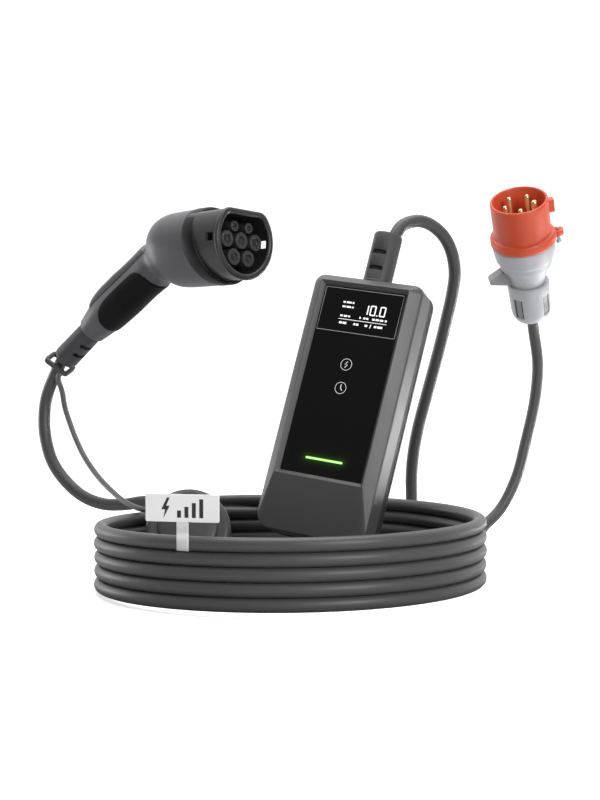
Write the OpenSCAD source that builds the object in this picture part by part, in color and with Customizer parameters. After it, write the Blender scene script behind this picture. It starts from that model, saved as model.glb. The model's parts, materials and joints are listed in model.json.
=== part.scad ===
// Portable charger for electric cars: control box, vehicle connector with its cap, coiled charging
// cable, mains lead and five-pole mains plug. Millimetres, +Z up, origin at the coil's middle on the floor.

/* [Control box] */
// Width across the side walls
box_w = 102; // [98:1:106]
// Height of the top wall above the panel's middle
box_top = 93; // [92:0.5:96]
// Depth of the bottom wall below the panel's middle
box_low = 134; // [130:0.5:136]
// Width of the black glass panel
panel_w = 75.6; // [72:0.2:77]
// Height of the black glass panel
panel_h = 165.6; // [164:0.2:167]
// How far the panel lies below the front ridge
panel_sink = 3.8; // [3:0.2:4.6]
// Depth of the parting line behind the panel's plane
seam_y = 30.5; // [30:0.5:32]
// Depth of the rear cover
rear_d = 9; // [8:0.5:10]
// Wall thickness of the two covers
wall = 2.6; // [2.2:0.2:3]

/* [Vehicle connector] */
// Outer radius of the nose
nose_r = 34; // [33.5:0.1:34.3]
// Height of the nose's flat top above the middle contact
nose_flat = 27; // [26:0.5:28]
// Wall thickness of the nose
nose_wall = 3.2; // [2.8:0.2:3.4]
// Tilt of the shoulder between nose and grip
shoulder_tilt = 15; // [12:1:17]
// Wall thickness of the grip shells
shell_wall = 2.4; // [2:0.1:2.4]
// Bore radius of the power contacts
socket_r = 3; // [2.9:0.05:3.1]

/* [Mains plug] */
// Outer diameter of the plug's shroud at the rim
shroud_d = 56.5; // [56:0.5:57]
// Radius of the circle the pins stand on
pin_circle = 14.8; // [14.4:0.1:15.2]
// Radius of a phase pin
phase_r = 2.5; // [2.4:0.05:2.6]
// Radius of the earth pin
earth_r = 3; // [2.9:0.05:3.1]

/* [Cables] */
// Diameter of the charging cable
charge_d = 11.5; // [11:0.1:11.6]
// Diameter of the mains lead
mains_d = 11; // [10:0.2:11]
// Diameter of the cap's lanyard
lanyard_d = 5; // [4:0.5:5]
// Radius of the coil at the middle of the cable
coil_r = 160; // [160:0.5:162]
// Turns in the coil
coil_turns = 5; // [4.8:0.1:5]

/* [Tag] */
// Width of the hang tag
tag_w = 70; // [60:1:74]
// Height of the hang tag
tag_h = 22; // [18:1:24]

/* [Hidden] */
$fn = 48;

box_at = [44.5, 0, 176.6];
box_turn = [-16.5, 7.6, -26.2];
conn_at = [-42.7, 46.9, 298.9];
conn_turn = [-4.1, -2.4, -43.4];
plug_at = [219, 210, 348];
plug_turn = [31.9, -11.5, 0];
cap_at = [-89, 63, 33.5];
cap_turn = [64, 0, 0];

// Control box, in its own frame: x right, y into the box, z up, panel plane at y = 0
half_w = box_w / 2;
ridge_hw = panel_w / 2 + panel_sink - 0.2;
ridge_hz = panel_h / 2 + panel_sink - 0.2;
seat_hw = panel_w / 2 + 0.1;
seat_hz = panel_h / 2 + 0.1;
bevel_y = 4.2;
glass_t = 2;
cavity_y = 8;
gasket_t = 1;
rear_y = seam_y + gasket_t;
back_y = rear_y + rear_d;
gland_y = 19.5;
gland_r = 10;
gland_lip = 11.4;
gland_len = 46;
mouth_d = 20;
bosses = [[-43, 83], [43, 83], [-43.6, -22], [43.6, -22], [-39.5, -117.5], [39.5, -117.5]];
board_y = 19;
board_t = 1.6;
board_posts = [[-32, 34], [32, 34], [-32, -84], [32, -84]];

// Vehicle connector, in its own frame: x out of the contact face, y to the right, z up
contact_row = [[-17.3, 0], [0, 0], [17.3, 0], [-8.65, -15], [8.65, -15]];
signal_row = [[-8.65, 11.9], [8.65, 11.9]];
nose_front = 4.5;
nose_back = -56;
floor_x = -24;
shoulder_x = -35;
// Sections of the grip: x, z, tilt, half width, half height
sections = [
    [-38.2, 0, shoulder_tilt, 37.2, 38.4],
    [-60, 0, 12, 37, 37.8],
    [-83, 0, 10, 35.3, 35.8],
    [-97.5, -1.5, 14, 30, 30.8],
    [-106, -10, 24, 20.6, 21.6],
    [-115, -18, 28, 18.6, 19],
    [-131, -27.5, 31, 17.8, 18],
    [-154, -41, 31, 18, 18.2],
    [-178, -55.4, 31, 16.5, 16.6],
    [-199, -68, 33, 13.7, 13.7]
];
boot_at = [-199, 0, -68];
boot_turn = [0, -123, 0];
boot_len = 47;
slot_angle = -81;

// Mains plug, in its own frame: z out of the shroud, rim at z = 0
flange_z = -36;
body_z = -46;
nut_z = -91;
plug_end = -137.5;
// Outer side of the body, from the flange to the gland nut
body_side = [
    [29.6, body_z], [29.6, body_z - 5], [28.8, body_z - 6.4], [27.2, body_z - 8.2], [26.4, body_z - 10.5],
    [25.4, body_z - 14], [24.2, body_z - 18.5], [22.6, body_z - 22.5], [21.4, body_z - 27],
    [20.4, body_z - 32], [19.8, body_z - 38], [19.6, nut_z]
];
carrier_z = -34;
pin_collar = 0.8;
pin_angle = -24.6;

// Cables
charge_r = charge_d / 2;
mains_r = mains_d / 2;
coil_h = coil_turns * charge_d;
tag_at = 239;
tag_faces = 255;
strap_w = 12.5;

function unit(v) = v / norm(v);
function rot_x(v, a) = [v[0], v[1] * cos(a) - v[2] * sin(a), v[1] * sin(a) + v[2] * cos(a)];
function rot_y(v, a) = [v[0] * cos(a) + v[2] * sin(a), v[1], v[2] * cos(a) - v[0] * sin(a)];
function rot_z(v, a) = [v[0] * cos(a) - v[1] * sin(a), v[0] * sin(a) + v[1] * cos(a), v[2]];
function turned(v, a) = rot_z(rot_y(rot_x(v, a[0]), a[1]), a[2]);
function box_point(v) = box_at + turned(v, box_turn);
function conn_point(v) = conn_at + turned(v, conn_turn);
function boot_point(v) = conn_point(boot_at + turned(v, boot_turn));
function ring_point(v) = boot_point(ring_at + rot_z(turned(v, ring_turn), ring_side));
function plug_point(v) = plug_at + turned(v, plug_turn);
function cap_point(v) = cap_at + turned(v, cap_turn);

low_start = box_point([0, gland_y, -box_low - 6.6]);
low_dir = turned([0, 0, -1], box_turn);
low_bend = 46;
// Level direction that the lower cable turns to, and the way to the middle of its bend
low_level = unit([low_dir[0], low_dir[1], 0]);
low_side = unit(low_level - (low_level * low_dir) * low_dir);
function low_arc(a) = low_start + low_bend * (sin(a) * low_dir + (1 - cos(a)) * low_side);
function low_heading(a) = cos(a) * low_dir + sin(a) * low_side;
// Tether ring on the cable below the boot: x to the side of its loops, y towards the viewer
ring_at = [0, 0, boot_len + 9];
ring_turn = [0, 12, 0];
ring_side = 148.6;
ring_h = 7;
ear_angle = 138.6;
ear_tip = 43;
ear_dir = [cos(ear_angle), sin(ear_angle), 0];

// Routes of the cords, each from its gland or boot to its far end
boot_route = [
    low_start - 6.6 * low_dir, low_start, low_arc(10), low_arc(20), low_arc(30), low_arc(40),
    low_arc(45) - low_heading(45), low_arc(45)
];
boot_radii = [9.5, 9.5, 9, 8.4, 7.7, 7, 6.7, 6.6];
tail_route = [
    low_arc(45), low_arc(45) + low_heading(45), low_arc(59), low_arc(70), [-26, -49, 5.8], [-37, -62, 5.8],
    [-41, -80, 5.8], [-36, -98, 5.8], [-21, -112, 5.8], [2, -118, 5.8], [29, -115, 5.8], [54, -106, 5.8],
    [78, -92, 5.8], [99, -70, 5.8], [114, -42, 5.8], [124, -10, 5.8], [126, 24, 5.8], [119, 58, 5.8],
    [104, 88, 5.8], [82, 113, 5.8], [54, 132, 5.8], [22, 144, 5.8], [-12, 147.8, 5.8]
];
riser_route = [
    [0, coil_r, coil_h + charge_r], [-36, 160, coil_h + charge_r], [-74, 160.5, 63], [-110, 162, 62.5],
    [-139, 165, 60.5], [-157, 170, 57.5], [-178, 178, 57], [-198, 187, 63], [-215, 197, 75], [-230, 207, 93],
    [-238, 215, 113], [-241, 220, 135], [-238, 221, 160],
    boot_point([0, 0, boot_len + 10]), boot_point([0, 0, boot_len + 1]), boot_point([0, 0, boot_len])
];
mains_route = [
    box_point([0, gland_y, box_top + gland_len - mouth_d]),
    box_point([0, gland_y, box_top + gland_len - mouth_d + 1]),
    box_point([0.3, gland_y + 0.2, box_top + gland_len - mouth_d + 7]),
    box_point([1.7, gland_y + 1, box_top + gland_len - mouth_d + 14]),
    box_point([4.3, gland_y + 2.4, box_top + gland_len + 0.5]),
    [96, 50, 311], [104, 55.5, 315.5], [114, 62, 317], [125, 69.5, 313.5], [136, 78, 304.5],
    [143.5, 85.5, 291], [147, 93, 274], [146, 101, 257], [141, 112, 230], [134, 127, 197],
    [126, 142, 163], [118, 155, 128], [114, 167, 97], [114, 178, 66], [117, 188, 38], [125, 198, 18],
    [139, 212, 7.5], [157, 230, 5.6], [175, 251, 10], [193, 273, 26], [212, 285, 44], [228, 293, 74],
    [238, 298, 110], [247, 300.5, 150], [250, 299, 188],
    plug_point([0, 0, plug_end - 14]), plug_point([0, 0, plug_end])
];
lanyard_route = [
    ring_point([6.4, 7.2, ring_h / 2]), ring_point([6.8, 8.6, ring_h / 2 + 6]),
    [-222, 211, 163], [-219, 207, 148], [-212, 196, 131], [-205, 185, 117], [-197, 173, 104],
    [-187, 158, 92], [-176, 140, 82], [-164, 121, 73.5], [-151, 99, 68], [-137, 82, 67.5],
    cap_point([0, 0, 6] + (ear_tip + 5) * ear_dir), cap_point([0, 0, 6] + ear_tip * ear_dir)
];

function tangent(p, i) = unit(p[min(i + 1, len(p) - 1)] - p[max(i - 1, 0)]);
function first_across(t) = unit(cross(t, abs(t[2]) > 0.8 ? [1, 0, 0] : [0, 0, 1]));
// Carries one crosswise direction along the route, so that the rings do not twist
function across(p, i) = i == 0
    ? first_across(tangent(p, 0))
    : let (a = across(p, i - 1), t = tangent(p, i)) unit(a - (a * t) * t);
function ring(p, i, r, sides) = let (t = tangent(p, i), a = across(p, i), b = cross(t, a))
    [for (k = [0:sides - 1]) p[i] + r * (cos(360 * k / sides) * a + sin(360 * k / sides) * b)];
// Triangles between equal closed rings of n points
function side_faces(rows, n) = [
    for (i = [0:rows - 2], k = [0:n - 1])
        let (a = i * n + k, b = i * n + (k + 1) % n)
            each [[a, a + n, b + n], [a, b + n, b]]
];
function cap_faces(rows, n) = [
    [for (k = [0:n - 1]) k],
    [for (k = [n - 1:-1:0]) (rows - 1) * n + k]
];

// A round tube along a route, with one radius for each point
module sweep(p, radii, sides) {
    points = [for (i = [0:len(p) - 1]) each ring(p, i, radii[i], sides)];
    polyhedron(points, concat(side_faces(len(p), sides), cap_faces(len(p), sides)), convexity = 6);
}

module cord(p, r, sides) {
    sweep(p, [for (q = p) r], sides);
}

function corner(cx, cz, r, a0) = [for (i = [0:6]) [cx + r * cos(a0 + 15 * i), cz + r * sin(a0 + 15 * i)]];
// Upright rectangle with its own corner radius below and above
function outline(hw, z0, z1, rb, rt) = concat(
    corner(hw - rt, z1 - rt, rt, 0), corner(rt - hw, z1 - rt, rt, 90),
    corner(rb - hw, z0 + rb, rb, 180), corner(hw - rb, z0 + rb, rb, 270)
);

// Upright rounded plate from y0 back to y1
module slab(hw, z0, z1, rb, rt, y0, y1) {
    translate([0, y1, 0])
        rotate([90, 0, 0])
            linear_extrude(y1 - y0)
                polygon(outline(hw, z0, z1, rb, rt));
}

// Round bar along y at x, z
module bar_y(x, z, r, y0, y1) {
    translate([x, y1, z])
        rotate([90, 0, 0])
            cylinder(r = r, h = y1 - y0);
}

module in_box() {
    translate(box_at) rotate(box_turn) children();
}

module in_connector() {
    translate(conn_at) rotate(conn_turn) children();
}

module in_boot() {
    in_connector() translate(boot_at) rotate(boot_turn) children();
}

module in_plug() {
    translate(plug_at) rotate(plug_turn) children();
}

module in_cap() {
    translate(cap_at) rotate(cap_turn) children();
}

// Lays a drawing in the connector's y-z plane and pulls it along x
module along_x(x0, x1) {
    translate([x0, 0, 0])
        rotate([90, 0, 90])
            linear_extrude(x1 - x0)
                children();
}

// Elongated hole, w wide and h high, cut along y
module slot_y(w, h, y0, y1) {
    translate([0, y1, 0])
        rotate([90, 0, 0])
            linear_extrude(y1 - y0) {
                square([w - h, h], center = true);
                translate([(h - w) / 2, 0]) circle(h / 2);
                translate([(w - h) / 2, 0]) circle(h / 2);
            }
}

module front_form() {
    hull() {
        slab(ridge_hw, -ridge_hz, ridge_hz, 1.5, 1.5, -panel_sink, 1 - panel_sink);
        slab(half_w, -box_low, box_top, 14, 9, bevel_y, bevel_y + 4);
        slab(half_w, -box_low, box_top, 14, 13, seam_y - 2, seam_y);
    }
}

module front_recess() {
    hull() {
        slab(ridge_hw - 0.4, 0.4 - ridge_hz, ridge_hz - 0.4, 1.2, 1.2, -panel_sink - 0.2, -panel_sink);
        slab(seat_hw, -seat_hz, seat_hz, 1, 1, -0.2, 0);
    }
}

module front_cover() {
    color([0.33, 0.33, 0.34])
        in_box()
            difference() {
                union() {
                    difference() {
                        front_form();
                        front_recess();
                        slab(seat_hw, -seat_hz, seat_hz, 1, 1, -1, glass_t + 0.1);
                        slab(half_w - wall, wall - box_low, box_top - wall, 11.4, 8, cavity_y, seam_y + 1);
                        slab(36, -78, 80, 2, 2, glass_t + 2.6, cavity_y + 1);
                    }
                    for (b = bosses) bar_y(b[0], b[1], 4.2, cavity_y - 0.5, seam_y);
                    for (b = board_posts) bar_y(b[0], b[1], 3.5, glass_t + 2.2, board_y);
                }
                slab(33, 43, 79, 1, 1, glass_t - 1, glass_t + 3);
                slab(13, -14, 24, 1, 1, glass_t - 1, glass_t + 3);
                slab(17.8, -70.4, -67, 1, 1, glass_t - 1, glass_t + 3);
                for (b = bosses) bar_y(b[0], b[1], 1.55, cavity_y + 3, seam_y + 1);
                for (b = board_posts) bar_y(b[0], b[1], 1.3, glass_t + 4, board_y + 1);
                translate([0, gland_y, box_top - 10]) cylinder(r = gland_r + 0.05, h = 20);
                translate([0, gland_y, -box_low - 10]) cylinder(r = gland_r + 0.05, h = 20);
            }
}

module rear_cover() {
    rim = wall + 2;
    color([0.27, 0.27, 0.28])
        in_box()
            difference() {
                union() {
                    difference() {
                        hull() {
                            slab(half_w, -box_low, box_top, 14, 13, rear_y, rear_y + 2.5);
                            slab(half_w - 5, 5 - box_low, box_top - 5, 10, 9, back_y - 0.5, back_y);
                        }
                        slab(half_w - rim, rim - box_low, box_top - rim, 9, 8, rear_y - 1, back_y - wall);
                    }
                    for (b = bosses) bar_y(b[0], b[1], 4.2, rear_y, back_y - 1);
                }
                for (b = bosses) bar_y(b[0], b[1], 1.8, rear_y - 1, back_y + 1);
                for (b = bosses) bar_y(b[0], b[1], 3.6, back_y - 3.2, back_y + 1);
            }
}

module cover_gasket() {
    color([0.08, 0.08, 0.08])
        in_box()
            difference() {
                slab(half_w - 0.9, 0.9 - box_low, box_top - 0.9, 13, 12, seam_y, rear_y);
                slab(half_w - wall, wall - box_low, box_top - wall, 11.4, 10.4, seam_y - 1, rear_y + 1);
            }
}

module cover_screws() {
    color([0.6, 0.6, 0.62])
        in_box()
            for (b = bosses) {
                bar_y(b[0], b[1], 3.4, back_y - 3.2, back_y - 1);
                bar_y(b[0], b[1], 1.5, cavity_y + 5, back_y - 3.2);
            }
}

module glass_panel() {
    color([0.05, 0.05, 0.055])
        in_box()
            difference() {
                slab(panel_w / 2, -panel_h / 2, panel_h / 2, 0.8, 0.8, 0, glass_t);
                slab(17.3, -69.7, -67.7, 0.9, 0.9, -1, glass_t + 1);
            }
}

module display_module() {
    color([0.1, 0.1, 0.11])
        in_box() {
            slab(32.6, 43.4, 78.6, 0.8, 0.8, glass_t + 0.1, glass_t + 3.4);
            slab(35, 41, 79.8, 0.8, 0.8, glass_t + 3.4, glass_t + 5);
        }
}

module touch_board() {
    color([0.1, 0.3, 0.2])
        in_box() {
            slab(12.6, -13.6, 23.6, 0.8, 0.8, glass_t + 1, glass_t + 2.6);
            for (z = [-5.4, 15.4]) bar_y(0, z, 5.8, glass_t + 0.1, glass_t + 1);
        }
}

module light_bar() {
    color([0.65, 0.95, 0.45])
        in_box() {
            slab(17.2, -69.6, -67.8, 0.8, 0.8, 0, glass_t + 0.4);
            slab(17.6, -70.2, -67.2, 0.8, 0.8, glass_t + 0.4, glass_t + 5);
        }
}

module circuit_board() {
    color([0.08, 0.32, 0.18])
        in_box()
            difference() {
                slab(38, -94, 76, 2, 2, board_y, board_y + board_t);
                for (b = board_posts) bar_y(b[0], b[1], 1.6, board_y - 1, board_y + 3);
            }
}

module board_screws() {
    color([0.65, 0.65, 0.66])
        in_box()
            for (b = board_posts) {
                bar_y(b[0], b[1], 2.6, board_y + board_t, board_y + board_t + 1.8);
                bar_y(b[0], b[1], 1.25, board_y - 8, board_y + board_t);
            }
}

module relays() {
    color([0.15, 0.17, 0.2])
        in_box()
            for (x = [-14, 14], z = [-34, 4])
                slab_at(x, z, 24, 32, 13);
}

// Block of w by h standing d high on the back of the board
module slab_at(x, z, w, h, d) {
    translate([x, 0, z]) slab(w / 2, -h / 2, h / 2, 1, 1, board_y + board_t, board_y + board_t + d);
}

module power_supply() {
    color([0.12, 0.12, 0.14])
        in_box() slab_at(-13, 42, 30, 26, 14);
}

module current_sensor() {
    color([0.1, 0.14, 0.3])
        in_box()
            difference() {
                bar_y(16.5, 42, 13, board_y + board_t, board_y + board_t + 11);
                bar_y(16.5, 42, 6.5, board_y, board_y + 20);
            }
}

module terminal_blocks() {
    color([0.16, 0.4, 0.2])
        in_box()
            for (z = [66, -72])
                difference() {
                    slab_at(0, z, 50, 11, 12);
                    for (x = [-20:10:20]) bar_y(x, z, 2, board_y + 5, board_y + 20);
                }
}

module top_gland() {
    body_r = 12.4;
    color([0.2, 0.2, 0.21])
        in_box()
            translate([0, gland_y, box_top])
                difference() {
                    rotate_extrude()
                        polygon([
                            [0, -wall - 2.5], [gland_lip, -wall - 2.5], [gland_lip, -wall],
                            [gland_r, -wall], [gland_r, 0],
                            [13.3, 0], [13.3, 1.6], [body_r, 2.4], [body_r, gland_len - 1.6],
                            [body_r - 0.9, gland_len], [11.2, gland_len],
                            [mains_r + 0.2, gland_len - mouth_d], [0, gland_len - mouth_d]
                        ]);
                    for (z = [12.7, 27.3], y = [-16, 8])
                        translate([0, y, z]) slot_y(13, 4, 0, 8);
                }
}

module bottom_gland() {
    color([0.2, 0.2, 0.21]) {
        in_box()
            translate([0, gland_y, -box_low])
                rotate_extrude()
                    polygon([
                        [0, -0.5], [gland_r, -0.5], [gland_r, wall], [gland_lip, wall],
                        [gland_lip, wall + 2.5], [0, wall + 2.5]
                    ]);
        sweep(boot_route, boot_radii, 16);
    }
}

module hanging_eye() {
    color([0.4, 0.4, 0.41])
        in_box()
            difference() {
                translate([half_w - 9.3, 22, box_top - 5])
                    rotate([0, 45, 0]) {
                        translate([-8, 0, 3.4]) rotate([0, 90, 0]) cylinder(r = 0.9, h = 16);
                        for (x = [-7.1, 7.1]) translate([x, 0, -2]) cylinder(r = 0.8, h = 5.4);
                    }
                front_form();
            }
}

// Section of the grip at a place u along its list, by a smooth curve through the sections
function blend(a, b, c, d, t) = 0.5 * (2 * b + (c - a) * t
    + (2 * a - 5 * b + 4 * c - d) * t * t + (3 * b - a - 3 * c + d) * t * t * t);
function section(u) = let (n = len(sections) - 1, i = min(floor(u), n - 1))
    blend(sections[max(i - 1, 0)], sections[i], sections[i + 1], sections[min(i + 2, n)], u - i);
// Point of the grip's skin: a = 0 on the left side, 90 above
function skin(u, a, grow) = let (s = section(u))
    [
        s[0] - sin(s[2]) * (s[4] + grow) * sin(a),
        -(s[3] + grow) * cos(a),
        s[1] + cos(s[2]) * (s[4] + grow) * sin(a)
    ];

// Patch of the grip's skin between two offsets, from angle a0 to a1
module skin_patch(u0, u1, rows, a0, a1, m, low, high) {
    n = 2 * m + 2;
    points = [
        for (i = [0:rows - 1])
            let (u = u0 + (u1 - u0) * i / (rows - 1))
                each concat(
                    [for (k = [0:m]) skin(u, a0 + (a1 - a0) * k / m, high)],
                    [for (k = [m:-1:0]) skin(u, a0 + (a1 - a0) * k / m, low)]
                )
    ];
    first_end = [for (k = [0:m - 1]) each [[k, k + 1, n - 2 - k], [k, n - 2 - k, n - 1 - k]]];
    last_end = [for (f = first_end) [for (j = [2:-1:0]) f[j] + (rows - 1) * n]];
    polyhedron(points, concat(side_faces(rows, n), first_end, last_end), convexity = 8);
}

module grip_shell_left() {
    color([0.36, 0.36, 0.37])
        in_connector() skin_patch(0, 9, 25, -90, 90, 14, -shell_wall, 0);
}

module grip_shell_right() {
    color([0.36, 0.36, 0.37])
        in_connector() skin_patch(0, 9, 25, 90, 270, 14, -shell_wall, 0);
}

module grip_pad() {
    color([0.08, 0.08, 0.08])
        in_connector() skin_patch(4.9, 8.15, 13, -190, 10, 20, 0.15, 0.9);
}

module spine_bow() {
    rows = 12;
    sides = 12;
    points = [
        for (i = [0:rows - 1])
            let (
                u = 4.3 + 4.25 * i / (rows - 1),
                half = 4.6 - 1.9 * i / (rows - 1),
                lift = half + 0.3 + 0.9 * sin(180 * i / (rows - 1)),
                c = skin(u, 90, lift),
                s = section(u),
                up = [-sin(s[2]), 0, cos(s[2])]
            )
                for (k = [0:sides - 1])
                    c + 8.2 * cos(360 * k / sides) * [0, -1, 0] + half * sin(360 * k / sides) * up
    ];
    color([0.13, 0.13, 0.14])
        in_connector()
            polyhedron(points, concat(side_faces(rows, sides), cap_faces(rows, sides)), convexity = 4);
}

// Round nose outline with a flat top and soft shoulders, shrunk by t
module nose_outline(t) {
    shoulder_r = 8;
    low = nose_flat - shoulder_r;
    side = sqrt((nose_r - shoulder_r) * (nose_r - shoulder_r) - low * low);
    hull() {
        intersection() {
            circle(nose_r - t, $fn = 72);
            translate([-40, -40]) square([80, 40 + low]);
        }
        for (y = [-side, side]) translate([y, low]) circle(shoulder_r - t);
    }
}

module nose() {
    window = [9, 12, 9];
    color([0.1, 0.1, 0.1])
        in_connector()
            difference() {
                along_x(nose_back, nose_front) nose_outline(0);
                along_x(nose_back - 1, nose_front + 1) nose_outline(nose_wall);
                for (y = [-nose_r, nose_r])
                    translate([-10, y, -2] - window / 2) cube(window);
            }
}

module shoulder_ring() {
    color([0.07, 0.07, 0.07])
        in_connector()
            difference() {
                translate([shoulder_x, 0, 0])
                    rotate([0, 90 - shoulder_tilt, 0])
                        rotate_extrude($fn = 72)
                            polygon([
                                [26, -2.9], [37.8, -2.9], [38.8, -1.9], [38.8, 1.4], [37, 3], [26, 3]
                            ]);
                along_x(nose_back, 0) nose_outline(-0.05);
            }
}

module contact_carrier() {
    color([0.06, 0.06, 0.06])
        in_connector()
            difference() {
                along_x(nose_back + 2, floor_x) nose_outline(nose_wall + 0.05);
                for (c = contact_row) bar_x(c, 4.85, nose_back, 0);
                for (c = signal_row) bar_x(c, 2.65, nose_back, 0);
            }
}

// Sleeve round a contact that lies r wide in it, with a narrower mouth
module sleeve(at, outer, r, mouth) {
    difference() {
        bar_x(at, outer, floor_x, 0);
        bar_x(at, r + 0.05, nose_back, -2.5);
        bar_x(at, mouth, -4, 1);
    }
}

module contact_sleeves() {
    color([0.12, 0.12, 0.12])
        in_connector() {
            for (c = contact_row) sleeve(c, 7.2, 4.8, 3.9);
            for (c = signal_row) sleeve(c, 4.6, 2.6, 2.1);
        }
}

// Round bar along x at y, z
module bar_x(at, r, x0, x1) {
    translate([x0, at[0], at[1]])
        rotate([0, 90, 0])
            cylinder(r = r, h = x1 - x0);
}

module power_contacts() {
    color([0.75, 0.75, 0.76])
        in_connector()
            for (c = contact_row)
                difference() {
                    bar_x(c, 4.8, nose_back - 8, -2.6);
                    bar_x(c, socket_r, -34, -2);
                    bar_x(c, 2.6, nose_back - 9, nose_back + 2);
                }
}

module signal_contacts() {
    color([0.75, 0.75, 0.76])
        in_connector()
            for (c = signal_row)
                difference() {
                    bar_x(c, 2.6, nose_back - 6, -2.6);
                    bar_x(c, 1.5, -30, -2);
                }
}

module cable_boot() {
    color([0.2, 0.2, 0.21])
        in_boot()
            difference() {
                rotate_extrude()
                    polygon([
                        [0, -12], [9.8, -12], [9.8, 0], [11.4, 0], [11.6, 8], [12, boot_len - 3],
                        [11.7, boot_len - 1], [10.8, boot_len], [0, boot_len]
                    ]);
                for (z = [21, 34], a = [0, 180])
                    rotate([0, 0, a + slot_angle]) translate([0, -14, z]) slot_y(13, 3.4, 0, 6);
            }
}

module tether_ring() {
    loop = [[7, -3], [14.4, -5.6], [14.4, 5.6], [7, 3]];
    hole = [[9.4, -1.4], [12, -2.4], [12, 2.4], [9.4, 1.4]];
    color([0.12, 0.12, 0.12])
        in_boot()
            translate(ring_at)
                rotate([0, 0, ring_side])
                    rotate(ring_turn)
                        difference() {
                            union() {
                                translate([0, 0, -ring_h / 2]) cylinder(r = 9, h = ring_h, $fn = 12);
                                for (side = [0, 180])
                                    rotate([0, 0, side])
                                        rotate([90, 0, 0])
                                            linear_extrude(4, center = true)
                                                difference() {
                                                    polygon(loop);
                                                    polygon(hole);
                                                }
                            }
                            translate([0, 0, -ring_h])
                                cylinder(r = charge_r + 1, h = 2 * ring_h, $fn = 12);
                        }
}

module dust_cap() {
    depth = 38;
    color([0.14, 0.14, 0.15])
        in_cap() {
            rotate_extrude($fn = 72)
                polygon([
                    [34.6, 0], [36.4, 0], [37, 0.6], [37, depth - 5], [36.4, depth - 2.2], [35, depth - 0.7],
                    [32.6, depth], [26.5, depth], [25.6, depth + 2.2], [24.4, depth + 3.2],
                    [18, depth + 4.3], [9, depth + 4.9], [0, depth + 5.1], [0, depth - 4],
                    [33.2, depth - 4], [34.6, depth - 5.4]
                ]);
            rotate([0, 0, ear_angle])
                translate([36.6, -4, 2])
                    cube([ear_tip - 36.6, 8, 8]);
        }
}

module lanyard() {
    color([0.1, 0.1, 0.1])
        cord(lanyard_route, lanyard_d / 2, 8);
}

module plug_shroud() {
    r = shroud_d / 2;
    color([0.8, 0.24, 0.14])
        in_plug()
            difference() {
                union() {
                    rotate_extrude($fn = 72)
                        polygon([
                            [r - 3, body_z], [31, body_z], [32, body_z + 1.4], [32, flange_z - 2.4],
                            [30.8, flange_z - 0.6], [r - 0.2, flange_z], [r, -1], [r - 0.8, 0],
                            [r - 2.2, 0], [r - 3, -1.2]
                        ]);
                    translate([r - 1, -3.5, -18.5]) cube([6, 7, 13]);
                    translate([r - 1, -5.5, body_z + 0.5]) cube([7.4, 11, 5.6]);
                    translate([r + 6.4, 0, body_z + 0.5]) cylinder(r = 5.5, h = 5.6);
                }
                translate([r + 6.4, 0, body_z - 1]) cylinder(r = 1.75, h = 14);
            }
}

module flange_clip() {
    color([0.6, 0.6, 0.62])
        in_plug()
            translate([shroud_d / 2 + 6.4, 0, 0]) {
                translate([0, 0, body_z - 6]) cylinder(r = 1.7, h = 15);
                translate([0, 0, body_z - 8.5]) cylinder(r = 2.8, h = 2.5);
            }
}

module pin_carrier() {
    color([0.55, 0.16, 0.1])
        in_plug()
            difference() {
                translate([0, 0, -54]) cylinder(r = shroud_d / 2 - 3.05, h = 54 + carrier_z);
                for (k = [1:4]) at_pin(k) translate([0, 0, -60]) cylinder(r = phase_r + pin_collar, h = 40);
                at_pin(0) translate([0, 0, -60]) cylinder(r = earth_r + pin_collar, h = 40);
            }
}

// Places a pin, counted anticlockwise from the earth pin beside the key
module at_pin(k) {
    rotate([0, 0, 72 * k + pin_angle]) translate([pin_circle, 0, 0]) children();
}

// Contact pin with a thicker root in the carrier and a blunt cone on its tip
module contact_pin(r, tip) {
    translate([0, 0, -66]) cylinder(r = r + pin_collar, h = 66 + carrier_z);
    translate([0, 0, carrier_z]) cylinder(r = r, h = tip - 1.5 - carrier_z);
    translate([0, 0, tip - 1.5]) cylinder(r1 = r, r2 = r - 1, h = 1.5);
}

module phase_pins() {
    color([0.83, 0.74, 0.52])
        in_plug()
            for (k = [1:4]) at_pin(k) contact_pin(phase_r, -2.5);
}

module earth_pin() {
    color([0.83, 0.74, 0.52])
        in_plug()
            at_pin(0) contact_pin(earth_r, -1);
}

module plug_body() {
    color([0.78, 0.79, 0.81])
        in_plug()
            rotate_extrude($fn = 72)
                polygon(concat([[26.4, body_z]], body_side, [
                    [13, nut_z], [13, -104], [12.2, -104], [10.4, -102], [10.4, nut_z + 2],
                    [17.2, nut_z + 4], [17.6, body_z - 36], [18.8, body_z - 29], [20.4, body_z - 22],
                    [22.4, body_z - 16], [23.8, body_z - 12], [25, body_z - 9], [26.4, body_z - 8.8]
                ]));
}

module lock_tab() {
    play = 0.05;
    color([0.5, 0.51, 0.53])
        in_plug()
            difference() {
                rotate([90, 0, 180])
                    linear_extrude(12, center = true)
                        polygon([
                            [16, -74], [25.3, -72], [37.5, -80.6], [37.8, -82.4], [36.4, -83.8], [27, -84],
                            [16, -84.8]
                        ]);
                rotate_extrude($fn = 72)
                    polygon(concat([[0, body_z]], [for (q = body_side) q + [play, 0]], [[0, nut_z]]));
            }
}

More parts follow.
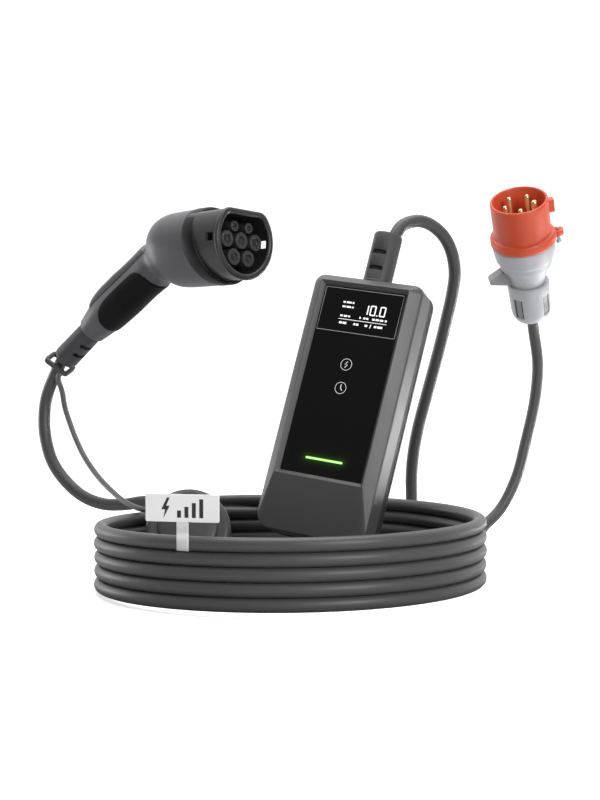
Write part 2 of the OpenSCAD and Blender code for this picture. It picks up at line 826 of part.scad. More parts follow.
module gland_nut() {
    ribs = 10;
    color([0.7, 0.71, 0.73])
        in_plug()
            difference() {
                rotate_extrude($fn = 72)
                    polygon([
                        [13.05, -129], [13.05, nut_z - 0.05], [20.6, nut_z - 0.05], [21.2, nut_z - 0.9],
                        [21, -96], [20.3, -108], [18.2, -122], [17, -127], [15.4, -130], [8.6, -130],
                        [8.6, -129]
                    ]);
                for (k = [0:ribs - 1])
                    rotate([0, 0, 360 * k / ribs])
                        translate([17.7, 0, -128])
                            rotate([0, 7, 0])
                                cylinder(r = 1.1, h = 25);
            }
}

module cable_seal() {
    color([0.7, 0.71, 0.73])
        in_plug()
            rotate_extrude()
                polygon([
                    [0, -106], [11.8, -106], [11.8, -128.9], [8.5, -128.9], [8.5, -133], [7, plug_end],
                    [0, plug_end]
                ]);
}

module charge_tail() {
    color([0.2, 0.2, 0.21])
        cord(tail_route, charge_r, 10);
}

module charge_coil() {
    color([0.2, 0.2, 0.21])
        rotate_extrude($fn = 120)
            translate([coil_r - charge_r, 0])
                polygon([
                    [3, 0], [charge_d - 3, 0], [charge_d - 0.9, 0.9], [charge_d, 3], [charge_d, coil_h - 3],
                    [charge_d - 0.9, coil_h - 0.9], [charge_d - 3, coil_h], [3, coil_h], [0.9, coil_h - 0.9],
                    [0, coil_h - 3], [0, 3], [0.9, 0.9]
                ]);
}

module charge_riser() {
    color([0.2, 0.2, 0.21])
        cord(riser_route, charge_r, 10);
}

module mains_lead() {
    color([0.18, 0.18, 0.19])
        cord(mains_route, mains_r, 10);
}

module tag_strap() {
    outer = coil_r + charge_r + 0.05;
    over = coil_h + 0.65;
    tip = coil_h + 14;
    angle = strap_w / outer * 180 / PI;
    color([0.85, 0.85, 0.85])
        rotate([0, 0, tag_at - angle / 2])
            rotate_extrude(angle = angle, $fn = 120)
                polygon([
                    [outer, coil_h - 12], [outer + 0.6, coil_h - 12], [outer + 0.6, over],
                    [coil_r + 0.6, over], [coil_r + 0.6, tip], [coil_r, tip], [coil_r, coil_h + 0.05],
                    [outer, coil_h + 0.05]
                ]);
}

module tag_card() {
    color([0.9, 0.9, 0.9])
        translate([coil_r * cos(tag_at), coil_r * sin(tag_at), coil_h + 14])
            rotate([0, 0, tag_faces - 90])
                slab(tag_w / 2, 0, tag_h, 1.5, 1.5, 0, 0.8);
}

// Node to build, or all of them

front_cover();
rear_cover();
cover_gasket();
cover_screws();
glass_panel();
display_module();
touch_board();
light_bar();
circuit_board();
board_screws();
relays();
power_supply();
current_sensor();
terminal_blocks();
top_gland();
bottom_gland();
hanging_eye();
grip_shell_left();
grip_shell_right();
grip_pad();
spine_bow();
nose();
shoulder_ring();
contact_carrier();
contact_sleeves();
power_contacts();
signal_contacts();
cable_boot();
tether_ring();
dust_cap();
lanyard();
plug_shroud();
flange_clip();
pin_carrier();
phase_pins();
earth_pin();
plug_body();
lock_tab();
gland_nut();
cable_seal();
charge_tail();
charge_coil();
charge_riser();
mains_lead();
tag_strap();
tag_card();
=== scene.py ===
import json

import bpy
import numpy as np
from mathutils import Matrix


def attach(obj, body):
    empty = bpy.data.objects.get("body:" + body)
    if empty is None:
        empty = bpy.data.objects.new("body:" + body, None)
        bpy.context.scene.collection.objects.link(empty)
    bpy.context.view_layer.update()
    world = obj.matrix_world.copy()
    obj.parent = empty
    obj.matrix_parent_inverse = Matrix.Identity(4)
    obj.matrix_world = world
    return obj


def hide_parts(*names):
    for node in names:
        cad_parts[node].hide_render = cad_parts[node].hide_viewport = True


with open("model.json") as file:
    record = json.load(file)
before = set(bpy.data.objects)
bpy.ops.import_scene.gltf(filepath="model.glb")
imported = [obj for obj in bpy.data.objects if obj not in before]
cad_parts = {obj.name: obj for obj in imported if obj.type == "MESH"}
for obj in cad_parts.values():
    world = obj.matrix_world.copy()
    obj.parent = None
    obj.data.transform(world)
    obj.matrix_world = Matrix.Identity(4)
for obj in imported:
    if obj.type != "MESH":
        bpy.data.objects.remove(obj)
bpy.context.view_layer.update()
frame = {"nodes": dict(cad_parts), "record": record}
nodes = frame["nodes"]
scene = bpy.context.scene

MM = 0.001


# Places of the main units, in millimetres and degrees, in the frame of the CAD model

def rotation(angles):
    """Turn about x, then y, then z: the product of the three plane rotations."""
    x, y, z = np.radians(angles)
    about_x = [[1, 0, 0], [0, np.cos(x), -np.sin(x)], [0, np.sin(x), np.cos(x)]]
    about_y = [[np.cos(y), 0, np.sin(y)], [0, 1, 0], [-np.sin(y), 0, np.cos(y)]]
    about_z = [[np.cos(z), -np.sin(z), 0], [np.sin(z), np.cos(z), 0], [0, 0, 1]]
    return np.array(about_z) @ np.array(about_y) @ np.array(about_x)


def place(at, angles, within=None):
    """Origin and turn of a unit, given in the frame of another unit or of the whole model."""
    at, turn = np.array(at, float), rotation(angles)
    if within is None:
        return at, turn
    return within[0] + within[1] @ at, within[1] @ turn


def put(where, points):
    """Points of a unit's own frame, in the frame of the whole model: turned, then moved."""
    return np.asarray(points, float) @ where[1].T + where[0]


BOX_TURN = (-16.5, 7.6, -26.2)
BOX = place((44.5, 0, 176.6), BOX_TURN)
CONNECTOR = place((-42.7, 46.9, 298.9), (-4.1, -2.4, -43.4))
CABLE_BOOT = place((-199, 0, -68), (0, -123, 0), CONNECTOR)
TETHER_RING = place((0, 0, 56), (0, 12, 148.6), CABLE_BOOT)
PLUG = place((219, 210, 348), (31.9, -11.5, 0))
CAP = place((-89, 63, 33.5), (64, 0, 0))

# Sizes that the pieces share, in millimetres
BOX_HALF_W, BOX_TOP, BOX_LOW = 51.0, 93.0, -134.0
PANEL_HW, PANEL_HZ, PANEL_SINK = 37.8, 82.8, 3.8
RIDGE_HW, RIDGE_HZ = 41.4, 86.4
SEAM_Y, BEVEL_Y, GLASS_T = 30.5, 4.2, 2.0
GLAND_Y, GLAND_LEN, GLAND_MOUTH = 19.5, 46.0, 20.0
BOOT_LEN, PLUG_END = 47.0, -137.5
CHARGE_D, MAINS_D, LANYARD_D = 11.5, 11.0, 5.0
COIL_R, COIL_TURNS, COIL_PITCH = 160.0, 5, 11.5
COIL_START, COIL_SWEEP, COIL_BREATH = 126, 1760, 0.35
COIL_H = COIL_TURNS * CHARGE_D


# Numpy shapes: a grid of points is rows x columns x 3

def unit(v):
    """Vectors scaled to length one."""
    return v / np.maximum(np.linalg.norm(v, axis=-1, keepdims=True), 1e-12)


def cubic(a, b, c, d, t):
    """Cubic from b to c as t goes from 0 to 1; its slope at each is half the difference of the
    neighbours on both sides."""
    return 0.5 * (2 * b + (c - a) * t + (2 * a - 5 * b + 4 * c - d) * t**2 + (3 * b - a - 3 * c + d) * t**3)


def catmull_rom(points, steps):
    """Smooth curve through points, cut at even steps of each cubic."""
    p = np.asarray(points, float)
    p = np.concatenate([[2 * p[0] - p[1]], p, [2 * p[-1] - p[-2]]])
    a, b, c, d = p[:-3, None], p[1:-2, None], p[2:-1, None], p[3:, None]
    t = (np.arange(steps) / steps)[None, :, None]
    curve = cubic(a, b, c, d, t)
    return np.concatenate([curve.reshape(-1, p.shape[1]), p[-2:-1]])


def arc_lengths(path):
    """Length of the path from its start to each of its points."""
    return np.concatenate([[0], np.cumsum(np.linalg.norm(np.diff(path, axis=0), axis=1))])


def even_path(points, spacing):
    """The smooth curve through points, cut at equal lengths."""
    curve = catmull_rom(points, 24)
    along = arc_lengths(curve)
    cuts = np.linspace(0, along[-1], int(round(along[-1] / spacing)) + 1)
    return np.stack([np.interp(cuts, along, curve[:, k]) for k in range(3)], axis=1)


def carried_frames(path):
    """Two crosswise directions for each point of a path: the first is carried along the path and
    freed of its part along the tangent, the second is the tangent crossed with the first."""
    tangents = unit(np.gradient(path, axis=0))
    side = np.cross(tangents[0], [0.0, 0, 1] if abs(tangents[0, 2]) < 0.8 else [1.0, 0, 0])
    across = np.empty_like(path)
    for k, t in enumerate(tangents):
        side = unit(side - (side @ t) * t)
        across[k] = side
    return across, np.cross(tangents, across)


def full_turn(sides):
    """Even angles once round."""
    return np.linspace(0, 2 * np.pi, sides, endpoint=False)


def tube(path, radii, sides):
    """Circle carried along a path: centre plus radius times (cosine across, sine up)."""
    across, up = carried_frames(path)
    turn = full_turn(sides)
    radii = np.broadcast_to(radii, len(path))[:, None, None]
    spokes = np.cos(turn)[None, :, None] * across[:, None] + np.sin(turn)[None, :, None] * up[:, None]
    return path[:, None] + radii * spokes


def rounded_rectangle(hw, z0, z1, low_r, top_r, y, corner_steps=10):
    """Closed ring in the plane y: four quarter circles in order, joined by straight sides."""
    quarter = np.radians(np.linspace(0, 90, corner_steps + 1))
    corners = [(hw - top_r, z1 - top_r, top_r), (top_r - hw, z1 - top_r, top_r),
               (low_r - hw, z0 + low_r, low_r), (hw - low_r, z0 + low_r, low_r)]
    ring = [
        np.stack([x + r * np.cos(quarter + k * np.pi / 2), z + r * np.sin(quarter + k * np.pi / 2)], axis=1)
        for k, (x, z, r) in enumerate(corners)
    ]
    ring = np.concatenate(ring)
    return np.stack([ring[:, 0], np.full(len(ring), y), ring[:, 1]], axis=1)


def softened(rings, reaches, steps=6):
    """Loft whose edges are rounded: each inner ring becomes a short parabola that starts and ends
    a given reach away on the walls before and after it."""
    rows = [rings[0]]
    for before, ring, after, reach in zip(rings[:-2], rings[1:-1], rings[2:], reaches):
        start = ring + reach * unit(before - ring)
        end = ring + reach * unit(after - ring)
        t = np.linspace(0, 1, steps)[:, None, None]
        rows.extend((1 - t) ** 2 * start + 2 * t * (1 - t) * ring + t**2 * end)
    rows.append(rings[-1])
    return np.stack(rows)


# Meshes

def grid_faces(rows, cols, closed):
    """Four-sided faces between neighbouring rows and columns, the last column joined to the first
    where the grid is closed."""
    r = np.arange(rows - 1)[:, None]
    c = np.arange(cols if closed else cols - 1)[None, :]
    a, b = r * cols + c, r * cols + (c + 1) % cols
    return np.stack([a, b, b + cols, a + cols], axis=-1).reshape(-1, 4)


def grid_uv(grid, closed):
    """Face corners' own map: u goes once round the columns, v is the length along the first column."""
    rows, cols = grid.shape[:2]
    along = arc_lengths(grid[:, 0])
    r = np.arange(rows - 1)[:, None]
    c = np.arange(cols if closed else cols - 1)[None, :]
    u0, u1, v0, v1 = np.broadcast_arrays(c / cols, (c + 1) / cols, along[r], along[r + 1])
    return np.stack([u0, v0, u1, v0, u1, v1, u0, v1], axis=-1).reshape(-1, 2)


def add_object(name, data):
    """New object in the scene."""
    new = bpy.data.objects.new(name, data)
    scene.collection.objects.link(new)
    return new


def add_piece(name, points, faces, finish, uv=None, smooth=True):
    """New mesh object at the origin, in metres, that rides on the object's one body."""
    mesh = bpy.data.meshes.new(name)
    corners = (np.asarray(points).reshape(-1, 3) * MM).tolist()
    mesh.from_pydata(corners, [], [list(map(int, face)) for face in faces])
    if uv is not None:
        layer = mesh.uv_layers.new(name="UVMap")
        padded = np.zeros((len(mesh.loops), 2))
        padded[:len(uv)] = uv
        layer.data.foreach_set("uv", padded.ravel())
    mesh.polygons.foreach_set("use_smooth", np.full(len(mesh.polygons), smooth))
    mesh.materials.append(FINISH[finish])
    mesh.update()
    piece = add_object(name, mesh)
    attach(piece, "root")
    return piece


def add_loft(name, grid, finish, capped=True, smooth=True):
    """Closed rings joined into a skin, with a flat cap on both ends where asked."""
    rows, cols = grid.shape[:2]
    faces = grid_faces(rows, cols, True).tolist()
    uv = grid_uv(grid, True)
    if capped:
        faces += [list(range(cols - 1, -1, -1)), [(rows - 1) * cols + c for c in range(cols)]]
    return add_piece(name, grid, faces, finish, uv, smooth)


def flipped(grid):
    """The same grid with its columns in the other order, so that its faces point the other way."""
    return grid[:, ::-1]


def add_patch(name, grid, finish):
    """Closed band whose two end rings are filled by faces between opposite columns."""
    rows, cols = grid.shape[:2]
    faces = grid_faces(rows, cols, True).tolist()
    uv = grid_uv(grid, True)
    half = cols // 2
    for k in range(half - 1):
        strip = [k, cols - 1 - k, cols - 2 - k, k + 1]
        faces.append(strip)
        faces.append([(rows - 1) * cols + c for c in strip[::-1]])
    return add_piece(name, grid, faces, finish, uv)


def paint(piece, finishes, index):
    """Further finishes of a piece, given to its faces by number; the caps keep the first finish."""
    for finish in finishes:
        piece.data.materials.append(FINISH[finish])
    numbers = np.zeros(len(piece.data.polygons), np.int32)
    numbers[:index.size] = index.ravel()
    piece.data.polygons.foreach_set("material_index", numbers)


def add_sheet(name, grid, finish):
    """Open grid of points as a skin."""
    rows, cols = grid.shape[:2]
    return add_piece(name, grid, grid_faces(rows, cols, False), finish, grid_uv(grid, False))


# Finishes

def new_group(name, inputs, outputs):
    """Shader node group with named sockets; returns the tree and its two end nodes."""
    tree = bpy.data.node_groups.new(name, "ShaderNodeTree")
    for label, kind, value in inputs:
        socket = tree.interface.new_socket(label, in_out="INPUT", socket_type="NodeSocket" + kind)
        socket.default_value = value
    for label, kind in outputs:
        tree.interface.new_socket(label, in_out="OUTPUT", socket_type="NodeSocket" + kind)
    return tree, tree.nodes.new("NodeGroupInput"), tree.nodes.new("NodeGroupOutput")


def feed(tree, socket, value):
    """Sets a socket to a number, or links another socket to it."""
    if isinstance(value, (int, float)):
        socket.default_value = value
    else:
        tree.links.new(value, socket)


def coordinates(tree, kind="Object"):
    """Coordinates of the shaded point."""
    return tree.nodes.new("ShaderNodeTexCoord").outputs[kind]


def noise(tree, scale, detail, vector):
    """Noise node with a fixed or linked scale."""
    node = tree.nodes.new("ShaderNodeTexNoise")
    node.inputs["Detail"].default_value = detail
    tree.links.new(vector, node.inputs["Vector"])
    feed(tree, node.inputs["Scale"], scale)
    return node.outputs["Fac"]


def math_node(tree, operation, a, b):
    """One step of arithmetic on two sockets or numbers."""
    node = tree.nodes.new("ShaderNodeMath")
    node.operation = operation
    for socket, value in zip(node.inputs, (a, b)):
        feed(tree, socket, value)
    return node.outputs[0]


def ramp(tree, socket, start, end, low, high):
    """Straight line from low to high while a socket goes from start to end."""
    node = tree.nodes.new("ShaderNodeMapRange")
    values = {"Value": socket, "From Min": start, "From Max": end, "To Min": low, "To Max": high}
    for label, value in values.items():
        feed(tree, node.inputs[label], value)
    return node.outputs["Result"]


def weighted(tree, a, share_a, b, share_b):
    """Sum of two sockets, each times its share."""
    part_a = math_node(tree, "MULTIPLY", a, share_a)
    return math_node(tree, "ADD", part_a, math_node(tree, "MULTIPLY", b, share_b))


def mixed(tree, factor, a, b):
    """Colour between two colour sockets."""
    node = tree.nodes.new("ShaderNodeMix")
    node.data_type = "RGBA"
    tree.links.new(factor, node.inputs["Factor"])
    for socket, value in ((node.inputs[6], a), (node.inputs[7], b)):
        tree.links.new(value, socket)
    return node.outputs[2]


def close_group(tree, given, result, tone, swing, height):
    """Ends of a finish: colour between its two colours by tone, gloss plus a swing, and the height."""
    blend = mixed(tree, tone, given.outputs["Colour"], given.outputs["Worn colour"])
    tree.links.new(blend, result.inputs["Colour"])
    tree.links.new(math_node(tree, "ADD", given.outputs["Gloss"], swing), result.inputs["Roughness"])
    tree.links.new(height, result.inputs["Height"])
    return tree


def moulded_grain_group():
    """Fine spark-eroded grain of a moulding, with slow drifts of tone and gloss over it."""
    tree, given, result = new_group(
        "moulded_grain",
        [("Colour", "Color", (0.1, 0.1, 0.1, 1)), ("Worn colour", "Color", (0.14, 0.14, 0.14, 1)),
         ("Grain per metre", "Float", 1500.0), ("Gloss", "Float", 0.45), ("Gloss drift", "Float", 0.1)],
        [("Colour", "Color"), ("Roughness", "Float"), ("Height", "Float")],
    )
    where = coordinates(tree)
    grain = noise(tree, given.outputs["Grain per metre"], 3.0, where)
    drift = noise(tree, 28.0, 2.0, where)
    tone = weighted(tree, grain, 0.35, drift, 0.65)
    off = math_node(tree, "SUBTRACT", tone, 0.5)
    swing = math_node(tree, "MULTIPLY", off, given.outputs["Gloss drift"])
    return close_group(tree, given, result, tone, swing, grain)


def drawn_jacket_group():
    """Jacket of a cable: hair-fine streaks along its length and a slow drift, on its own map."""
    tree, given, result = new_group(
        "drawn_jacket",
        [("Colour", "Color", (0.05, 0.05, 0.05, 1)), ("Worn colour", "Color", (0.08, 0.08, 0.08, 1)),
         ("Gloss", "Float", 0.45)],
        [("Colour", "Color"), ("Roughness", "Float"), ("Height", "Float")],
    )
    stretch = tree.nodes.new("ShaderNodeMapping")
    stretch.inputs["Scale"].default_value = (34.0, 0.02, 1.0)
    tree.links.new(coordinates(tree, "UV"), stretch.inputs["Vector"])
    streaks = noise(tree, 1.0, 2.0, stretch.outputs["Vector"])
    where = coordinates(tree)
    drift = noise(tree, 22.0, 2.0, where)
    fine = noise(tree, 1400.0, 2.0, where)
    tone = weighted(tree, streaks, 0.5, drift, 0.5)
    swing = math_node(tree, "MULTIPLY", tone, 0.12)
    return close_group(tree, given, result, tone, swing, weighted(tree, streaks, 0.6, fine, 0.4))


GRAIN, JACKET = moulded_grain_group(), drawn_jacket_group()
BUMP_HEIGHT = 0.0002


def new_material(name):
    """Empty material; returns it with its tree and its Principled shader."""
    material = bpy.data.materials.new(name)
    material.use_nodes = True
    return material, material.node_tree, material.node_tree.nodes["Principled BSDF"]


def finish_from(name, group, values, bump, **sockets):
    """Material with one Principled shader: colour, roughness and bump come from the group, the rest
    is set on the shader's own sockets."""
    material, tree, shader = new_material(name)
    effect = tree.nodes.new("ShaderNodeGroup")
    effect.node_tree = group
    for label, value in values.items():
        effect.inputs[label].default_value = value
    tree.links.new(effect.outputs["Colour"], shader.inputs["Base Color"])
    tree.links.new(effect.outputs["Roughness"], shader.inputs["Roughness"])
    relief = tree.nodes.new("ShaderNodeBump")
    relief.inputs["Strength"].default_value = bump
    relief.inputs["Distance"].default_value = BUMP_HEIGHT
    tree.links.new(effect.outputs["Height"], relief.inputs["Height"])
    tree.links.new(relief.outputs["Normal"], shader.inputs["Normal"])
    for label, value in sockets.items():
        shader.inputs[label.replace("_", " ")].default_value = value
    return material


WHITE = (1, 1, 1, 1)


def grey(value, tint=1.0):
    """Linear colour of a neutral grey; a tint above one is a little bluer."""
    return (value, value, value * tint, 1)


def moulding(name, colour, worn, grain, gloss, drift=0.12, bump=0.25, **sockets):
    """Moulded plastic, rubber, glass or metal on the grain group."""
    values = {"Colour": colour, "Worn colour": worn, "Grain per metre": grain, "Gloss": gloss,
              "Gloss drift": drift}
    return finish_from(name, GRAIN, values, bump, **sockets)


def bar_glow_group():
    """Green spill round the light bar: falls off with the square of the distance to the bar's line,
    in the control box's own coordinates."""
    tree, given, result = new_group(
        "bar_glow",
        [("Half length", "Float", 0.0165), ("Height", "Float", -0.0687), ("Reach", "Float", 0.0034),
         ("Colour", "Color", (0.12, 0.5, 0.02, 1)), ("Dark", "Color", (0, 0, 0, 1))],
        [("Colour", "Color")],
    )
    local = tree.nodes.new("ShaderNodeMapping")
    local.vector_type = "TEXTURE"
    local.inputs["Location"].default_value = BOX[0] * MM
    local.inputs["Rotation"].default_value = np.radians(BOX_TURN)
    tree.links.new(coordinates(tree), local.inputs["Vector"])
    split = tree.nodes.new("ShaderNodeSeparateXYZ")
    tree.links.new(local.outputs["Vector"], split.inputs["Vector"])
    sideways = math_node(tree, "ABSOLUTE", split.outputs["X"], 0.0)
    beyond = math_node(tree, "SUBTRACT", sideways, given.outputs["Half length"])
    beyond = math_node(tree, "MAXIMUM", beyond, 0.0)
    above = math_node(tree, "SUBTRACT", split.outputs["Z"], given.outputs["Height"])
    wide = math_node(tree, "MULTIPLY", beyond, beyond)
    square = math_node(tree, "ADD", wide, math_node(tree, "MULTIPLY", above, above))
    reach = math_node(tree, "MULTIPLY", given.outputs["Reach"], given.outputs["Reach"])
    fall = math_node(tree, "DIVIDE", reach, math_node(tree, "ADD", square, reach))
    glow = math_node(tree, "POWER", fall, 2.0)
    tree.links.new(mixed(tree, glow, given.outputs["Dark"], given.outputs["Colour"]), result.inputs["Colour"])
    return tree


def glowing_glass(name, colour, worn):
    """Black glass of the panel with the light bar's spill on it."""
    material = moulding(
        name, colour, worn, 400, 0.06, 0.04, 0.0, Specular_IOR_Level=0.3, Emission_Strength=0.12)
    tree = material.node_tree
    spill = tree.nodes.new("ShaderNodeGroup")
    spill.node_tree = bar_glow_group()
    tree.links.new(spill.outputs["Colour"], tree.nodes["Principled BSDF"].inputs["Emission Color"])
    return material


FINISH = {}


def mould(name, colour, worn, *values, **sockets):
    """Adds one moulding to the finishes; a number in place of a colour is a neutral grey."""
    tones = [tone if isinstance(tone, tuple) else grey(tone) for tone in (colour, worn)]
    FINISH[name] = moulding(name, *tones, *values, **sockets)


mould("housing_grey", 0.07, grey(0.08, 1.02), 1600, 0.4)
mould("connector_grey", grey(0.075, 1.1), grey(0.088, 1.12), 1600, 0.42)
# Rear cover's grey; also laid on the front cover's rear band as painted shade
mould("rear_grey", 0.03, 0.037, 1600, 0.55, Specular_IOR_Level=0.2)
mould("black_rubber", 0.005, 0.008, 1900, 0.5, 0.15, Specular_IOR_Level=0.3)
mould("boot_rubber", 0.045, 0.055, 1500, 0.5)
# Near black; also laid as painted shade in the boot's slots and under the spine bow
mould("shoulder_black", 0.004, 0.006, 1700, 0.5, Specular_IOR_Level=0.25)
mould("pad_black", 0.002, 0.004, 1900, 0.6, 0.15, Specular_IOR_Level=0.15)
mould("nose_grey", 0.03, 0.036, 1700, 0.34)
mould("cap_grey", 0.05, 0.06, 1500, 0.42)
mould("boot_slate", grey(0.036, 1.12), grey(0.045, 1.12), 1500, 0.5)
mould("bow_grey", grey(0.12, 1.02), grey(0.15, 1.02), 1600, 0.45)
mould("sleeve_grey", 0.03, 0.038, 1500, 0.45)
mould("tab_grey", grey(0.25, 1.06), grey(0.28, 1.06), 900, 0.36)
mould("black_plastic", 0.014, 0.02, 1700, 0.38)
FINISH["panel_glass"] = glowing_glass("panel_glass", grey(0.002), grey(0.0026))
mould("light_guide", (0.45, 0.8, 0.25, 1), (0.5, 0.9, 0.3, 1), 300, 0.3,
      Emission_Color=(0.4, 0.72, 0.2, 1), Emission_Strength=0.85)
mould("board", (0.01, 0.1, 0.03, 1), (0.02, 0.14, 0.05, 1), 500, 0.4)
mould("component", 0.02, 0.03, 700, 0.4)
mould("steel", 0.5, 0.6, 2500, 0.3, Metallic=1.0)
mould("contact_silver", 0.5, 0.6, 2200, 0.28, Metallic=1.0)
mould("contact_brass", (0.72, 0.58, 0.34, 1), (0.8, 0.68, 0.45, 1), 2200, 0.3, Metallic=1.0)
mould("signal_red", (0.62, 0.07, 0.025, 1), (0.68, 0.1, 0.04, 1), 900, 0.38)
mould("carrier_red", (0.16, 0.014, 0.006, 1), (0.2, 0.02, 0.01, 1), 900, 0.5)
mould("light_grey", (0.6, 0.62, 0.66, 1), (0.65, 0.67, 0.7, 1), 900, 0.36)
mould("plug_grey", (0.42, 0.435, 0.465, 1), (0.46, 0.475, 0.5, 1), 900, 0.4)
# Painted shade of the nut: its sunken panels darker, and darker still in a strip at their sides
mould("nut_panel_shade", grey(0.24, 1.06), grey(0.28, 1.06), 900, 0.45)
mould("nut_slit_shade", 0.05, 0.06, 900, 0.5)
mould("mark_grey", 0.4, 0.5, 500, 0.4, Emission_Color=WHITE, Emission_Strength=0.5)
mould("tag_white", 0.93, 0.96, 1200, 0.5)
mould("strap_clear", 0.8, 0.88, 900, 0.32, Alpha=0.75)
mould("display_white", 0.5, 0.6, 500, 0.4, Emission_Color=WHITE, Emission_Strength=0.85)
mould("frame_line", 0.24, 0.28, 500, 0.4, Emission_Color=WHITE, Emission_Strength=0.12)
mould("tag_ink", 0.02, 0.03, 800, 0.5)
JACKETS = {"cable_jacket": (0.056, 0.076, 0.38), "lanyard_jacket": (0.1, 0.13, 0.42)}
for name, (colour, worn, gloss) in JACKETS.items():
    streaked = {"Colour": grey(colour), "Worn colour": grey(worn), "Gloss": gloss}
    FINISH[name] = finish_from(name, JACKET, streaked, 0.3)

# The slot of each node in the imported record, and so its finish
SLOTS = {row["node"]: row["material_slot"] for row in frame["record"]["subparts"]}


# Camera at the photograph's view, worked out for an image of 600 x 800
CAMERA_AT = (0.00805, -1.474, 0.2056)
CAMERA_PITCH = 0.03
CAMERA_LENS = 78.36

camera_data = bpy.data.cameras.new("camera")
camera_data.sensor_fit = "VERTICAL"
camera_data.sensor_height = 36.0
camera_data.lens = CAMERA_LENS
camera = add_object("camera", camera_data)
camera.location = CAMERA_AT
camera.rotation_euler = (np.pi / 2 - CAMERA_PITCH, 0, 0)
scene.camera = camera


# Cords: routes in millimetres, close to those of the CAD model

LOW_NECK = 6.6
LOW_START = put(BOX, (0, GLAND_Y, BOX_LOW - LOW_NECK))
LOW_DIR = BOX[1] @ np.array([0, 0, -1.0])
LOW_BEND, LOW_BOOT_END = 46.0, 45
LOW_BOOT_SIDE = ([0, LOW_NECK, 40, 42.7], [9.5, 9.5, 6.9, 6.1])
LOW_LEVEL = unit(LOW_DIR * [1, 1, 0])
LOW_SIDE = unit(LOW_LEVEL - (LOW_LEVEL @ LOW_DIR) * LOW_DIR)


def low_arc(degrees):
    """Point of the bend below the box: a circle that starts along the box and turns level."""
    a = np.radians(degrees)
    return LOW_START + LOW_BEND * (np.sin(a) * LOW_DIR + (1 - np.cos(a)) * LOW_SIDE)


TAIL_Z = 5.8
TAIL_FLOOR = [
    (-26, -49), (-37, -62), (-41, -80), (-36, -98), (-21, -112), (2, -118), (29, -115), (54, -106),
    (78, -92), (99, -70), (114, -42), (124, -10), (126, 24), (119, 58), (104, 88), (82, 113), (54, 132),
    (22, 144), (-12, 147.8), (-43, 147.6), (-70, 141.4),
]
TAIL_ROUTE = [low_arc(a) for a in (LOW_BOOT_END, 59, 70)] + [(x, y, TAIL_Z) for x, y in TAIL_FLOOR]
RISER_ROUTE = [
    (-36, 160, 61.8), (-74, 160.5, 61), (-110, 162, 61), (-139, 165, 60.5),
    (-157, 170, 57.5), (-178, 178, 57), (-198, 187, 63), (-215, 197, 75), (-230, 207, 93), (-238, 215, 113),
    (-241, 220, 135), (-238, 221, 160), put(CABLE_BOOT, (0, 0, BOOT_LEN + 10)),
    put(CABLE_BOOT, (0, 0, BOOT_LEN + 1)), put(CABLE_BOOT, (0, 0, BOOT_LEN)),
]
MOUTH_Z = BOX_TOP + GLAND_LEN - GLAND_MOUTH
MAINS_ROUTE = [
    put(BOX, (x, GLAND_Y + y, MOUTH_Z + z))
    for x, y, z in ((0, 0, 0), (0, 0, 1), (0.3, 0.2, 7), (1.7, 1, 14), (4.3, 2.4, 20.5))
] + [
    (96, 50, 311), (104, 55.5, 315.5), (114, 62, 317), (125, 69.5, 313.5), (136, 78, 304.5),
    (143.5, 85.5, 291), (147, 93, 274), (146, 101, 257), (141, 112, 230), (134, 127, 197), (126, 142, 163),
    (118, 155, 128), (114, 167, 97), (114, 178, 66), (117, 188, 38), (125, 198, 18), (139, 212, 7.5),
    (157, 230, 5.6),
    (175, 251, 10), (193, 273, 26), (212, 285, 44), (228, 293, 74), (238, 298, 110), (247, 300.5, 150),
    (250, 299, 188), put(PLUG, (0, 0, PLUG_END - 14)), put(PLUG, (0, 0, PLUG_END)),
]
EAR_TURN, EAR_TIP = np.radians(138.6), 43.0
EAR_DIR = np.array([np.cos(EAR_TURN), np.sin(EAR_TURN), 0])
LANYARD_ROUTE = [
    put(TETHER_RING, (7.6, 10.2, 0.5)), put(TETHER_RING, (7.6, 10.4, 8)), (-222, 210, 163), (-219, 207, 148),
    (-212, 196, 131), (-205, 185, 117), (-197, 173, 104), (-187, 158, 92), (-176, 140, 82), (-164, 121, 73.5),
    (-151, 99, 66.5), (-137, 82, 62), (-127, 74, 61),
    put(CAP, np.array([0, 0, 6]) + EAR_TIP * EAR_DIR),
]


def coil_turns():
    """Rising ring of the coil: a circle that climbs a cable's width a turn, from where the floor run
    joins it to the top at the back, and breathes by a fraction of a millimetre in radius."""
    turn = np.radians(np.arange(COIL_START, COIL_START + COIL_SWEEP, 12.0))
    laps = (turn - turn[0]) / (2 * np.pi)
    radius = COIL_R + COIL_BREATH * np.sin(2.1 * turn) * np.sin(0.37 * turn)
    height = CHARGE_D / 2 + COIL_PITCH * laps
    return np.stack([radius * np.cos(turn), radius * np.sin(turn), height], axis=1)


def add_cord(name, points, diameter, finish, spacing, sides):
    """Round cord along the smooth curve through points; returns the piece and its path in metres."""
    path = even_path(points, spacing)
    piece = add_loft(name, tube(path, diameter / 2, sides), finish)
    return piece, path * MM


charge_route = np.concatenate([TAIL_ROUTE, coil_turns(), RISER_ROUTE])
charge_cable, charge_path = add_cord(
    "charging_cable", charge_route, CHARGE_D, "cable_jacket", 5.0, 28)
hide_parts("charge_tail", "charge_coil", "charge_riser")
mains_lead, mains_path = add_cord(
    "mains_cable", MAINS_ROUTE, MAINS_D, "cable_jacket", 4.0, 28)
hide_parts("mains_lead")
lanyard, lanyard_path = add_cord(
    "cap_lanyard", LANYARD_ROUTE, LANYARD_D, "lanyard_jacket", 3.0, 20)
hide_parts("lanyard")


# Tether and cable boot of the connector

LOOP_HALF, LOOP_SHIFT, LOOP_CORNER = (11.8, 8.4), 1.2, 9
LOOP_BAND = np.array([
    (1.8, -1.8), (1.8, 1.8), (1.2, 2.4), (-1.2, 2.4), (-1.8, 1.8), (-1.8, -1.8), (-1.2, -2.4), (1.2, -2.4),
])


